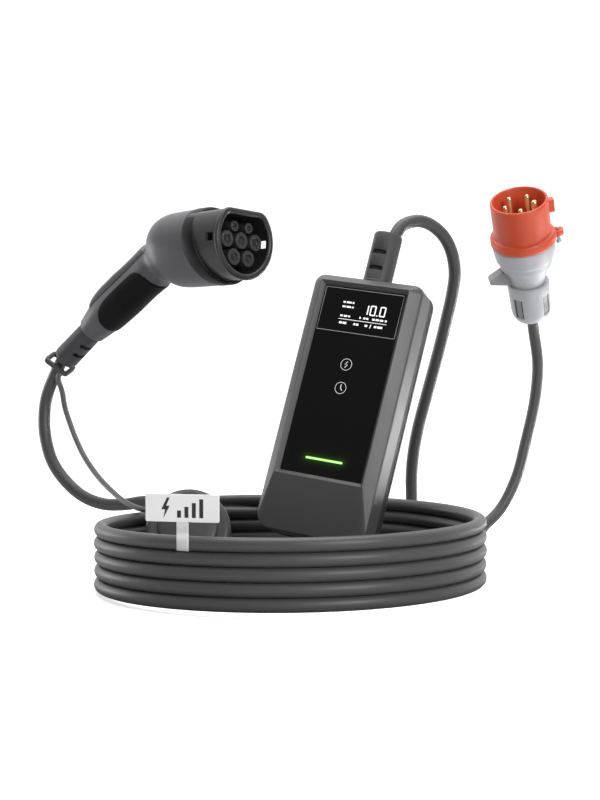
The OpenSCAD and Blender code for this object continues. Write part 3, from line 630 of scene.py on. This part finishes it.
def tether_loop():
    """Loose buckle round the cable: a flat section carried along the closed line
    (x/a)^n + (y/b)^n = 1."""
    turn = np.linspace(0, 2 * np.pi, 121)
    x, y = np.cos(turn), np.sin(turn)
    reach = (np.abs(x) ** LOOP_CORNER + np.abs(y) ** LOOP_CORNER) ** (-1 / LOOP_CORNER)
    line = np.stack([LOOP_HALF[0] * reach * x, LOOP_SHIFT + LOOP_HALF[1] * reach * y, 0 * x], axis=1)
    steep = LOOP_CORNER - 1
    outward = np.stack([np.sign(x) * np.abs(x) ** steep / LOOP_HALF[0],
                        np.sign(y) * np.abs(y) ** steep / LOOP_HALF[1], 0 * x], axis=1)
    band = LOOP_BAND[None, :, :1] * unit(outward)[:, None] + LOOP_BAND[None, :, 1:] * np.array([0, 0, 1.0])
    return put(TETHER_RING, line[:, None] + band)


loop = add_loft("tether_loop", tether_loop(), "boot_rubber", capped=False)
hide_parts("tether_ring")


BOOT_SLOTS, SLOT_HALF, SLOT_R, SLOT_DEPTH = (15.2, 28.2), 8.0, 2.1, 2.8
SLOT_TURN, SLOT_EDGE = np.radians(-177), 0.4
BOOT_SIDE = ([0, 8, 44, 46, 46.7, 47], [11.4, 11.6, 12, 11.7, 11.2, 10.4])


def cable_boot_skin():
    """Boot of the connector: a circle whose radius follows the boot's profile, less a round-ended slot
    where the distance to a short line round the skin is below the slot's half height."""
    z = np.concatenate([[0], np.linspace(0.2, BOOT_LEN - 1, 150), np.linspace(BOOT_LEN - 0.8, BOOT_LEN, 5)])
    turn = full_turn(160)
    radius = np.interp(z, *BOOT_SIDE)[:, None]
    sunk = np.zeros((len(z), len(turn)))
    for height in BOOT_SLOTS:
        for side in (0, np.pi):
            along = np.abs((turn - SLOT_TURN - side + np.pi) % (2 * np.pi) - np.pi)[None] * radius
            off = np.hypot(np.maximum(along - SLOT_HALF + SLOT_R, 0), (z - height)[:, None])
            sunk = np.maximum(sunk, SLOT_DEPTH * np.clip((SLOT_R - off) / SLOT_EDGE, 0, 1))
    radius = radius - sunk
    skin = put(CABLE_BOOT, np.stack(
        [radius * np.cos(turn), radius * np.sin(turn), np.broadcast_to(z[:, None], radius.shape)], axis=-1))
    return skin, (sunk > 0.2 * SLOT_DEPTH)[:-1]


boot_skin, boot_slot_shade = cable_boot_skin()
grip_boot = add_loft("grip_boot", boot_skin, "boot_slate")
# Painted shade: the faces inside the slots take the near black finish
paint(grip_boot, ["shoulder_black"], boot_slot_shade)
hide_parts("cable_boot")


# Control box

SKIRT_Y, PANEL_SEAT, FRAME_WALL, LOW_CORNER_R = 24.0, 0.1, 2.6, 14


def panel_frame_rings():
    """Rings of the front cover, from the glass seat over the ridge and the sloping frame to the
    parting line: rounded rectangles of one count of points."""
    def inner(hw, hz, r, y):
        return rounded_rectangle(hw, -hz, hz, r, r, y)

    def outer(top_r, y, inset=0):
        return rounded_rectangle(BOX_HALF_W - inset, BOX_LOW + inset, BOX_TOP - inset,
                                 LOW_CORNER_R - inset, top_r - inset, y)

    seat = (PANEL_HW + PANEL_SEAT, PANEL_HZ + PANEL_SEAT, 1)
    return [
        inner(*seat, GLASS_T), inner(*seat, 0),
        inner(RIDGE_HW - 0.4, RIDGE_HZ - 0.4, 1.2, -PANEL_SINK), inner(RIDGE_HW, RIDGE_HZ, 1.5, -PANEL_SINK),
        outer(9, BEVEL_Y), outer(9, BEVEL_Y + 4), outer(12, SKIRT_Y), outer(13, SEAM_Y - 2),
        outer(13, SEAM_Y), outer(13, SEAM_Y, FRAME_WALL), outer(13, SEAM_Y - 6, FRAME_WALL),
    ]


FRAME_REACHES = [0.2, 0.19, 0.19, 1.8, 0.3, 0.3, 0.3, 0.4, 0.3]
frame_grid = softened(panel_frame_rings(), FRAME_REACHES)
front_cover = add_loft(
    "front_frame", put(BOX, frame_grid), "housing_grey", capped=False)
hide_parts("front_cover")
# Painted shade: the rows of the cover's wall behind SKIRT_Y take the darker rear finish
skirt_shade_rows = np.minimum(frame_grid[:-1, 0, 1], frame_grid[1:, 0, 1]) > SKIRT_Y
paint(front_cover, ["rear_grey"], np.repeat(skirt_shade_rows, frame_grid.shape[1]))


def lower_boot():
    """Boot of the lower cable: a circle that narrows along the bend below the box."""
    path = np.array([low_arc(a) for a in np.linspace(0, LOW_BOOT_END, 28)])
    path = np.concatenate([[LOW_START - LOW_NECK * LOW_DIR, LOW_START - 3 * LOW_DIR], path])
    return tube(path, np.interp(arc_lengths(path), *LOW_BOOT_SIDE), 32)


bottom_boot = add_loft("lower_boot", lower_boot(), "boot_rubber")
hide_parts("bottom_gland")


# Vehicle connector

SECTIONS = np.array([
    (-38.2, -2.4, 15, 35.2, 35.8), (-60, -2.4, 12, 35, 35.2), (-80, -2.4, 10, 33.2, 33.8),
    (-93, -3.2, 14, 27.8, 28.8), (-102.5, -10.5, 24, 20.2, 21.2), (-115, -18, 28, 18.6, 19),
    (-131, -27.5, 31, 17.8, 18), (-154, -41, 31, 18, 18.2), (-178, -54.2, 31, 17.2, 17.9),
    (-199, -68, 33, 13.7, 13.7),
])
SHELL_WALL, PARTING = 2.4, 0.35
NOSE_R, NOSE_LOW, NOSE_CORNER_R = 34.0, 15.6, 10.4
NOSE_CORNER = np.arccos(NOSE_LOW / (NOSE_R - NOSE_CORNER_R))


def grip_section(u):
    """Section of the grip at place u in the list, on the smooth curve through the sections."""
    n = len(SECTIONS) - 1
    i = np.minimum(np.floor(u).astype(int), n - 1)
    a, b = SECTIONS[np.maximum(i - 1, 0)], SECTIONS[i]
    c, d = SECTIONS[i + 1], SECTIONS[np.minimum(i + 2, n)]
    return cubic(a, b, c, d, (u - i)[:, None])


def grip_skin(u, degrees, grow):
    """Grip's skin: an ellipse round each section, tilted with it; 0 degrees is the left, 90 the top.
    The three arguments are spread over one grid."""
    u, a, grow = np.broadcast_arrays(u, np.radians(degrees), grow)
    s = grip_section(u.ravel()).reshape(*u.shape, 5)
    tilt = np.radians(s[..., 2])
    rise = (s[..., 4] + grow) * np.sin(a)
    return np.stack([s[..., 0] - np.sin(tilt) * rise, -(s[..., 3] + grow) * np.cos(a),
                     s[..., 1] + np.cos(tilt) * rise], axis=-1)


def grip_half(start):
    """Half shell: out along the skin for half a turn, round the parting edge and back inside."""
    edge = 0.25
    out = np.linspace(start + edge, start + 180 - edge, 49)
    degrees = np.concatenate([[start], out, [start + 180], [start + 180], out[::-1], [start]])
    grow = np.concatenate([[-PARTING], 0 * out, [-PARTING], np.full(len(out) + 2, -SHELL_WALL)])
    u = np.linspace(0, len(SECTIONS) - 1, 110)
    return put(CONNECTOR, grip_skin(u[:, None], degrees[None], grow[None]))


left_shell = add_patch("grip_half_left", flipped(grip_half(-90)), "connector_grey")
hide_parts("grip_shell_left")
right_shell = add_patch("grip_half_right", flipped(grip_half(90)), "connector_grey")
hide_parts("grip_shell_right")


PAD_AT, PAD_HALF, PAD_REACH, PAD_CORNER = 6.45, 1.68, 100, 3.5
PAD_SINK, PAD_CROWN, PAD_RIM = 0.3, 1.2, 0.05


def grip_pad_skin():
    """Soft pad round the grip's underside: a patch of the skin with round corners, lifted off the
    skin by a low crown that falls to the skin at its edge."""
    v = np.linspace(-1, 1, 61)
    w = np.linspace(-1, 1, 81)
    v, w = np.meshgrid(v, w, indexing="ij")
    limit = (1 - np.abs(v) ** PAD_CORNER) ** (1 / PAD_CORNER)
    u = PAD_AT + PAD_HALF * v * (1 - 0.07 * w**2)
    degrees = -90 + PAD_REACH * w * np.maximum(limit, 0.6)
    rim = np.minimum(1 - np.abs(v), 1 - np.abs(w))
    grow = -PAD_SINK + PAD_CROWN * np.clip(rim / PAD_RIM, 0, 1) ** 0.5
    return put(CONNECTOR, grip_skin(u, degrees, grow))


pad = add_sheet("grip_pad_soft", flipped(grip_pad_skin()), "pad_black")
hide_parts("grip_pad")


BOW_AT, BOW_LENGTH, BOW_REACH, BOW_WAIST, BOW_SINK = 4.3, 3.95, 61, 12, 0.4
BOW_RISE = ([0, 0.33, 0.6, 0.78, 0.91, 1], [3.4, 4.4, 5.2, 4.6, 3.2, 2.0])


def spine_bow_skin(wider, lower):
    """Bow along the top of the grip: a saddle on the skin, whose rise follows a list along the grip and
    falls steeply at its edges; the near black seam below it, a sheet of painted shade, is the same saddle,
    wider and flat."""
    t = np.linspace(0, 1, 80)[:, None]
    w = np.sin(np.linspace(-np.pi / 2, np.pi / 2, 61))[None]
    reach = BOW_REACH - BOW_WAIST * np.sin(np.pi * t) + wider
    ends = (1 - np.abs(2 * t - 1) ** 24) ** 0.5
    rise = np.interp(t, *BOW_RISE) * lower
    grow = -BOW_SINK + (BOW_SINK + rise) * (1 - np.abs(w) ** 10) ** 0.5 * ends
    u = BOW_AT + BOW_LENGTH * t + 0.012 * wider * (2 * t - 1)
    return put(CONNECTOR, grip_skin(u, 90 + reach * w, grow))


SHOULDER_SIDE = [
    (0, -14), (0, 0), (0.4, 0.4), (1, 0.6), (12, 0.6), (13.4, 0.2), (14.2, -0.7), (14.2, -14), (0, -14),
]


def shoulder_skin():
    """Ring between grip and nose: a flat band with soft edges round the grip's first section, moved
    along the nose; its front face runs in behind the nose."""
    profile = np.array(SHOULDER_SIDE, float)
    degrees = np.linspace(0, 360, 96, endpoint=False)
    ring = grip_skin(np.zeros((1, 1)), degrees[None], profile[:, 1:])
    return put(CONNECTOR, ring + profile[:, :1, None] * np.array([1.0, 0, 0]))


shoulder = add_loft(
    "shoulder_band", flipped(shoulder_skin()), "shoulder_black", capped=False)
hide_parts("shoulder_ring")


WINDOW_Z = (-3.4, 4.0)
NOSE_PROFILE = [
    (-42, 3.2), (-42, 0), (-10, 0), (-1, 0), (1.0, 0), (1.3, -0.5), (2.0, -0.8), (3.6, -0.8), (4.5, -0.4),
    (5.0, 0.4), (5.2, 1.6), (5.1, 3.0), (4.7, 4.0), (4.0, 4.6), (3.0, 4.8), (2.0, 4.6), (1.4, 4.0),
    (1.2, 3.2), (-1, 3.2), (-10, 3.2), (-42, 3.2),
]
WINDOW_ROWS = (2, 18)


def nose_turns():
    """Angles round the nose's large circle, from one end of the flat top to the other, with the edges of
    the two lock windows among them."""
    low, high = np.arcsin(np.array(WINDOW_Z) / NOSE_R)
    edges = [np.pi - high, np.pi - low, 2 * np.pi + low, 2 * np.pi + high]
    round_side = np.linspace(np.pi / 2 + NOSE_CORNER, 2.5 * np.pi - NOSE_CORNER, 90)
    return np.unique(np.concatenate([round_side, edges])), edges


def nose_outline(inset):
    """Flat-topped round outline of the nose: the arc of a large circle, and two small circles inside it
    that carry the flat top; every point lies the inset inside."""
    big = nose_turns()[0]
    small = np.linspace(np.pi / 2 - NOSE_CORNER, np.pi / 2, 12)
    side = (NOSE_R - NOSE_CORNER_R) * np.sin(NOSE_CORNER)
    arc = (NOSE_R - inset) * np.stack([np.cos(big), np.sin(big)], axis=1)
    right = (NOSE_CORNER_R - inset) * np.stack([np.cos(small), np.sin(small)], axis=1) + (side, NOSE_LOW)
    left = right[::-1] * (-1, 1)
    return np.concatenate([arc, right[1:], left[:-1]])


def add_nose():
    """Nose with a thick round rim: a closed profile of place along the nose and inset, carried round the
    nose's outline; the faces of the two lock windows are left out and their four walls put in."""
    rows = []
    for along, inset in NOSE_PROFILE:
        outline = nose_outline(inset)
        rows.append(np.concatenate([np.full((len(outline), 1), along), outline], axis=1))
    grid = put(CONNECTOR, np.stack(rows))
    cols = grid.shape[1]
    turns, edges = nose_turns()
    spans = [np.searchsorted(turns, np.array(pair) - 1e-9) for pair in (edges[:2], edges[2:])]
    faces = grid_faces(len(rows), cols, True).reshape(len(rows) - 1, cols, 4)
    keep = np.ones(faces.shape[:2], bool)
    out, inside = WINDOW_ROWS
    walls = []

    def at(row, column):
        return row * cols + column

    for first, last in spans:
        keep[[out, inside], first:last] = False
        for c in range(first, last):
            walls.append([at(out, c), at(out, c + 1), at(inside + 1, c + 1), at(inside + 1, c)])
            walls.append([at(out + 1, c + 1), at(out + 1, c), at(inside, c), at(inside, c + 1)])
        walls.append([at(out + 1, first), at(out, first), at(inside + 1, first), at(inside, first)])
        walls.append([at(out, last), at(out + 1, last), at(inside, last), at(inside + 1, last)])
    piece = add_piece("nose_skin", grid, faces[keep].tolist() + walls, "nose_grey")
    piece.data.set_sharp_from_angle(angle=np.radians(40))
    return piece


nose = add_nose()
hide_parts("nose")
bow = add_sheet("spine_bow_skin", flipped(spine_bow_skin(0, 1)), "bow_grey")
# Painted shade: a near black sheet along the bow's lower edge, where the gap under the bow is in shadow
add_sheet("bow_shade_seam", flipped(spine_bow_skin(5, 0.09)), "shoulder_black")
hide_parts("spine_bow")


# Mains plug: body with soft steps, nut with sunken panels, lock tab; all in the plug's own frame

PLUG_SIDE = [
    (16.9, -92), (17.2, -90.4), (17.8, -87.4), (19.2, -82.4), (20.8, -77.6), (22.6, -74.4), (24.8, -72.2),
    (25.7, -70.6), (25.9, -68.8), (26.1, -66.6), (26.7, -65), (27.9, -63.8), (28.5, -62.6), (29, -60.4),
    (29.8, -56.4), (30.4, -51.6), (30.7, -48.6), (30.7, -46.2),
]
NUT_SIDE = [
    (8.7, -134.2), (12.4, -134.2), (14.6, -133), (16.6, -130.8), (18.2, -127.6), (19, -125.4), (19.1, -124.9),
    (19.8, -120), (20, -112), (20.3, -103.6), (20.3, -103.1), (20.6, -97), (20.8, -93.4), (20.4, -92),
    (19.4, -91.4), (17.4, -91.6),
]
PANEL_ROWS = slice(6, 10)
PANEL_TURN, PANEL_HALF, PANEL_DEPTH = 43.5, 11.5, 0.9
# Half width of the strip of darker painted shade at each side of a panel
SHADE_SLIT_HALF = 2.0
TAB_SIDE = np.array([
    (16, -75), (25.6, -73.4), (37.4, -79.4), (38.3, -80.8), (38.3, -83.4), (37.4, -84.8), (21.5, -88.8),
    (16, -89),
])


def lathe(profile, turn):
    """Round body: each radius and height of the profile carried round the z axis."""
    r, z = np.array(profile, float).T[:, :, None]
    return np.stack([r * np.cos(turn), r * np.sin(turn), np.repeat(z, len(turn), axis=1)], axis=-1)


def from_panel(degrees):
    """Angle to the middle of the nearest of the four panels."""
    return np.abs((degrees - PANEL_TURN + 45) % 90 - 45)


def add_gland_nut():
    """Turned nut; in its panels all points lie nearer to the axis, the panels carry painted shade, and their
    sides a strip of darker painted shade.
    """
    turn = full_turn(144)
    grid = lathe(NUT_SIDE, turn)
    sunk = from_panel(np.degrees(turn)) <= PANEL_HALF
    share = 1 - PANEL_DEPTH / np.linalg.norm(grid[PANEL_ROWS, sunk, :2], axis=-1, keepdims=True)
    grid[PANEL_ROWS, sunk, :2] *= share
    nut = add_loft("nut_skin", put(PLUG, grid), "plug_grey")
    off = from_panel(np.degrees(turn + turn[1] / 2))
    # Painted shade: 1 on the panels, 2 on the strip at each panel's side
    tones = np.where(np.abs(off - PANEL_HALF) < SHADE_SLIT_HALF, 2, np.where(off < PANEL_HALF, 1, 0))
    index = np.zeros((len(NUT_SIDE) - 1, len(turn)), int)
    index[PANEL_ROWS.start:PANEL_ROWS.stop - 1] = tones
    paint(nut, ["nut_panel_shade", "nut_slit_shade"], index)
    return nut


def lock_tab():
    """Tab: its side outline carried across, drawn in a little towards its middle on both faces."""
    middle = TAB_SIDE.mean(axis=0)
    rings = []
    for y, inset in ((-6, 0.7), (-5.3, 0), (5.3, 0), (6, 0.7)):
        side = TAB_SIDE + inset * unit(middle - TAB_SIDE)
        rings.append(np.stack([-side[:, 0], np.full(len(side), y), side[:, 1]], axis=1))
    return put(PLUG, np.stack(rings))


plug_round = lathe(PLUG_SIDE, full_turn(72))
plug_body = add_loft("plug_skin", put(PLUG, plug_round), "plug_grey")
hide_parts("plug_body")
plug_nut = add_gland_nut()
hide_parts("gland_nut")
plug_tab = add_loft("tab_skin", flipped(lock_tab()), "tab_grey", smooth=False)
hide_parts("lock_tab")


# Prints on the glass, touch marks and the tag's mark: flat ribbons a hair above their carrier

def ribbon(points, width, closed=False):
    """Stroke of even width: the line moved half the width to both sides along its own normals."""
    p = np.asarray(points, float)
    if closed:
        p = np.concatenate([p, p[:1]])
        t = unit(np.gradient(np.concatenate([p[-2:-1], p, p[1:2]]), axis=0)[1:-1])
    else:
        t = unit(np.gradient(p, axis=0))
    across = np.stack([-t[:, 1], t[:, 0]], axis=1) * width / 2
    return np.stack([p - across, p + across], axis=1)


def circle(x, z, r, steps=48):
    """Points of a circle."""
    a = full_turn(steps)
    return np.stack([x + r * np.cos(a), z + r * np.sin(a)], axis=1)


SEGMENTS = {"0": "abcdef", "1": "bc"}


def digit_strokes(figure, x, z, w, h):
    """Strokes of one seven-segment figure that stands on x, z."""
    ends = {
        "a": ((0, h), (w, h)), "b": ((w, h / 2), (w, h)), "c": ((w, 0), (w, h / 2)), "d": ((0, 0), (w, 0)),
        "e": ((0, 0), (0, h / 2)), "f": ((0, h / 2), (0, h)),
    }
    return [np.array(ends[s]) + (x, z) for s in SEGMENTS[figure]]


def add_ribbons(name, where, ribbons, depth, finish):
    """One mesh of many flat ribbons, laid in a unit's x-z plane at the given depth."""
    points, faces, start = [], [], 0
    for flat in ribbons:
        rows = len(flat)
        laid = np.stack([flat[..., 0], np.full(flat.shape[:2], depth), flat[..., 1]], axis=-1)
        points.append(laid.reshape(-1, 3))
        faces += (grid_faces(rows, 2, False) + start).tolist()
        start += 2 * rows
    return add_piece(name, put(where, np.concatenate(points)), faces, finish, smooth=False)


PRINT_LIFT = 0.06
PRINT_Y = -PRINT_LIFT


# Rows of bars: height, thickness, then start and width of each bar
DISPLAY_ROWS = [
    (57.4, 1.6, ((0.5, 1.4), (4.2, 2.0), (6.9, 2.0), (12.5, 2.4), (15.7, 3.0), (19.6, 3.2), (24.3, 1.8))),
    (54.5, 0.45, ((-18.5, 44.9),)),
    (51.2, 1.8, ((-17.2, 2.6), (-13.8, 3.4), (-3.6, 1.8), (-1.2, 2.2), (7.0, 2.4), (15.6, 2.4), (18.8, 4.6))),
]


def display_print():
    """Lit figures of the display: 10.0 in seven segments, rows of short bars and one long rule."""
    strokes = []
    for figure, x in (("1", 2.2), ("0", 9.2), ("0", 18.2)):
        strokes += [ribbon(s, 1.1) for s in digit_strokes(figure, x, 61.0, 4.4, 8.0)]
    strokes.append(ribbon([(15.3, 61.0), (16.4, 61.0)], 1.1))
    for z, cuts in ((69.6, (2.2, 4.6)), (65.6, (3.0, 4.2)), (57.4, (2.4, 3.4))):
        x = -17.6
        for width in cuts + (1.6,):
            strokes.append(ribbon([(x, z), (x + width, z)], 1.5))
            x += width + 0.9
    for z, thick, spans in DISPLAY_ROWS:
        strokes += [ribbon([(x, z), (x + width, z)], thick) for x, width in spans]
    strokes.append(ribbon([(12.6, 52.8), (12.0, 49.4)], 0.7))
    return strokes


def touch_marks():
    """Two rings, one round a bolt and one round clock hands."""
    marks = []
    for z in (15.4, -5.4):
        marks.append(ribbon(circle(-1, z, 5.0), 0.4, closed=True))
    marks.append(ribbon([(-0.1, 18.2), (-2.2, 15.2), (0.2, 15.5), (-1.8, 12.6)], 0.7))
    marks.append(ribbon([(-1, -2.2), (-1, -5.6), (0.7, -7.4)], 0.7))
    return marks


add_ribbons("display_figures", BOX, display_print(), PRINT_Y, "display_white")
add_ribbons("touch_marks", BOX, touch_marks(), PRINT_Y, "mark_grey")
display_edge = [(-36.5, 43.2), (36.5, 43.2), (36.5, 81.4), (-36.5, 81.4)]
edge_lines = [ribbon(display_edge[k:] + display_edge[:k + 1], 0.5)[:2] for k in range(4)]
add_ribbons("display_edge", BOX, edge_lines, PRINT_Y, "frame_line")


# Hang tag: strap, card and mark

TAG_DEGREES = 239
TAG_AT = np.radians(TAG_DEGREES)
STRAP_W, STRAP_T = 11.4, 0.6
STRAP_DIR = np.array([0.0675, -0.9977])
STRAP_BEND, STRAP_GAP = (-62, 84), 0.6
TAG = place((COIL_R * np.cos(TAG_AT), COIL_R * np.sin(TAG_AT), COIL_H + 14), (0, 0, -15))
TAG_HW, TAG_H, TAG_T = 30.0, 21.6, 0.8
TOP_TURN = CHARGE_D / 2 + COIL_PITCH * (COIL_TURNS - 1 + (TAG_DEGREES - COIL_START) / 360)


def tag_strap():
    """Strap over the top turn: in an upright plane towards the viewer most of a half ellipse round the
    cable, then straight up behind the card; this line has a thickness and is carried along the cable."""
    bend = np.radians(np.linspace(*STRAP_BEND, 24))
    gap = CHARGE_D / 2 + STRAP_GAP
    slant = STRAP_DIR @ np.array([np.cos(TAG_AT), np.sin(TAG_AT)])
    line = np.stack([gap / slant * np.cos(bend), TOP_TURN + gap * np.sin(bend)], axis=1)
    line = np.concatenate([line, [(-0.9, TOP_TURN + gap + 2), (-2.9, COIL_H + 17)]])
    flat = ribbon(line, STRAP_T)
    band = np.concatenate([flat[:, 0], flat[::-1, 1]])
    turn = TAG_AT + np.linspace(-0.5, 0.5, 9) * STRAP_W / COIL_R
    return np.stack([
        COIL_R * np.cos(turn)[:, None] + band[None, :, 0] * STRAP_DIR[0],
        COIL_R * np.sin(turn)[:, None] + band[None, :, 0] * STRAP_DIR[1],
        np.broadcast_to(band[None, :, 1], (len(turn), len(band))),
    ], axis=-1)


strap = add_patch("tag_band", flipped(tag_strap()), "strap_clear")
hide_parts("tag_strap")


def tag_skin():
    """Card of the tag: a round-cornered outline with a soft edge on both faces, as a closed loft from
    the middle of the front to the middle of the back."""
    soft = 0.25
    rows = [
        (-TAG_T, 2.0), (-TAG_T, 1.0), (-TAG_T, soft), (-TAG_T + soft, 0),
        (-soft, 0), (0, soft), (0, 1.0), (0, 2.0),
    ]
    return put(TAG, np.stack([
        rounded_rectangle(TAG_HW - inset, inset, TAG_H - inset, 1.5, 1.5, depth, 5)
        for depth, inset in rows
    ]))


card = add_loft("tag_plate", tag_skin(), "tag_white")
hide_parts("tag_card")


def tag_marks():
    """Bolt pictogram, cut into three four-sided strips, and four bars of rising height."""
    bolt = np.array([
        [[(1.2, 8), (3.4, 8)], [(-2, 1.6), (0.5, 1.6)]],
        [[(-2, 1.6), (3.4, 1.6)], [(-3.4, -1.2), (1.9, -1.2)]],
        [[(-0.4, -1.2), (1.9, -1.2)], [(-1.8, -8), (-1.7, -8)]],
    ])
    strokes = list(bolt + (-13.5, 10.8))
    for k, height in enumerate((5.5, 8.5, 11.5, 14.5)):
        strokes.append(ribbon([(-2.5 + 6 * k, 3.4), (-2.5 + 6 * k, 3.4 + height)], 3.2))
    return strokes


add_ribbons("tag_mark", TAG, tag_marks(), -TAG_T - PRINT_LIFT, "tag_ink")


# Finishes of the CAD nodes that stay

OWN_FINISH = {"dust_cap": "cap_grey", "hanging_eye": "tab_grey"}
EDGE_WELD, EDGE_BEVEL, EDGE_DEGREES = 1e-5, 0.0004, 35

for name, node in nodes.items():
    node.data.materials.clear()
    node.data.materials.append(FINISH[OWN_FINISH.get(name, SLOTS[name])])
    if node.hide_render:
        continue
    weld = node.modifiers.new("weld", "WELD")
    weld.merge_threshold = EDGE_WELD
    bevel = node.modifiers.new("edges", "BEVEL")
    bevel.width = EDGE_BEVEL
    bevel.segments = 2
    bevel.limit_method = "ANGLE"
    bevel.angle_limit = np.radians(EDGE_DEGREES)


# Floor, light and surroundings

# Ramps: where the socket starts and ends, then the values there
FLOOR_BOUNCE = (0.13, 0.2, 0.06, 0.62)
SKY, BACKDROP = (-0.2, 1.0, 0.1, 0.4), (0.0, 0.7, 0.0, 1.05)
FLOOR_R, FLOOR_Z, FLOOR_SEEN, FLOOR_SHINE = 1150, -0.05, 0.92, 0.6


def floor_finish():
    """Pale matt floor: it throws back less light than the camera sees, and least inside the coil."""
    material, tree, shader = new_material("floor_white")
    seen = tree.nodes.new("ShaderNodeLightPath").outputs["Is Camera Ray"]
    reach = tree.nodes.new("ShaderNodeVectorMath")
    reach.operation = "LENGTH"
    tree.links.new(coordinates(tree), reach.inputs[0])
    bounce = ramp(tree, reach.outputs["Value"], *FLOOR_BOUNCE)
    shade = ramp(tree, seen, 0, 1, bounce, FLOOR_SEEN)
    tree.links.new(shade, shader.inputs["Base Color"])
    shader.inputs["Roughness"].default_value = 0.9
    shader.inputs["Specular IOR Level"].default_value = 0.0
    shader.inputs["Emission Color"].default_value = WHITE
    tree.links.new(math_node(tree, "MULTIPLY", seen, FLOOR_SHINE), shader.inputs["Emission Strength"])
    return material


def add_floor():
    """Plain pale floor, a round sheet a hair below the object."""
    ring = circle(0, 0, FLOOR_R, 96)
    points = np.concatenate([ring, np.full((len(ring), 1), FLOOR_Z)], axis=1)
    mesh = bpy.data.meshes.new("floor")
    mesh.from_pydata((points * MM).tolist(), [], [list(range(len(ring)))])
    mesh.materials.append(floor_finish())
    add_object("floor", mesh)


def add_softbox(name, at, aim, size, power, spread=180):
    """Area light at a point, turned to look at another; size in metres, spread in degrees."""
    data = bpy.data.lights.new(name, "AREA")
    data.shape = "RECTANGLE"
    data.size, data.size_y = size
    data.energy = power
    data.spread = np.radians(spread)
    light = add_object(name, data)
    direction = np.array(aim, float) - np.array(at, float)
    light.location = at
    tip = np.arctan2(np.hypot(direction[0], direction[1]), -direction[2])
    light.rotation_euler = (tip, 0, np.arctan2(direction[1], direction[0]) - np.pi / 2)


add_floor()
add_softbox("top_softbox", (0.0, 0.1, 1.7), (0, 0.05, 0), (1.4, 1.2), 21)
add_softbox("right_softbox", (1.0, -1.5, 0.75), (0.05, 0.05, 0.2), (0.7, 0.9), 19)
add_softbox("left_softbox", (-1.5, 0.9, 0.2), (0, 0.05, 0.1), (0.7, 0.6), 5)
add_softbox("floor_softbox", (0.8, 0.6, 0.5), (0.8, 0.6, 0), (0.6, 0.6), 23, 60)


def studio_world():
    """Surroundings: white behind the object for the camera; for light a white backdrop that fades
    towards the front, and a soft grey sky."""
    world = bpy.data.worlds.new("studio")
    world.use_nodes = True
    tree = world.node_tree
    shade = tree.nodes["Background"]
    shade.inputs["Color"].default_value = WHITE
    split = tree.nodes.new("ShaderNodeSeparateXYZ")
    tree.links.new(coordinates(tree, "Generated"), split.inputs["Vector"])
    sky = ramp(tree, split.outputs["Z"], *SKY)
    backdrop = ramp(tree, split.outputs["Y"], *BACKDROP)
    seen = tree.nodes.new("ShaderNodeLightPath").outputs["Is Camera Ray"]
    strength = math_node(tree, "MAXIMUM", seen, math_node(tree, "ADD", sky, backdrop))
    tree.links.new(strength, shade.inputs["Strength"])
    scene.world = world


studio_world()
scene.view_settings.view_transform = "Standard"
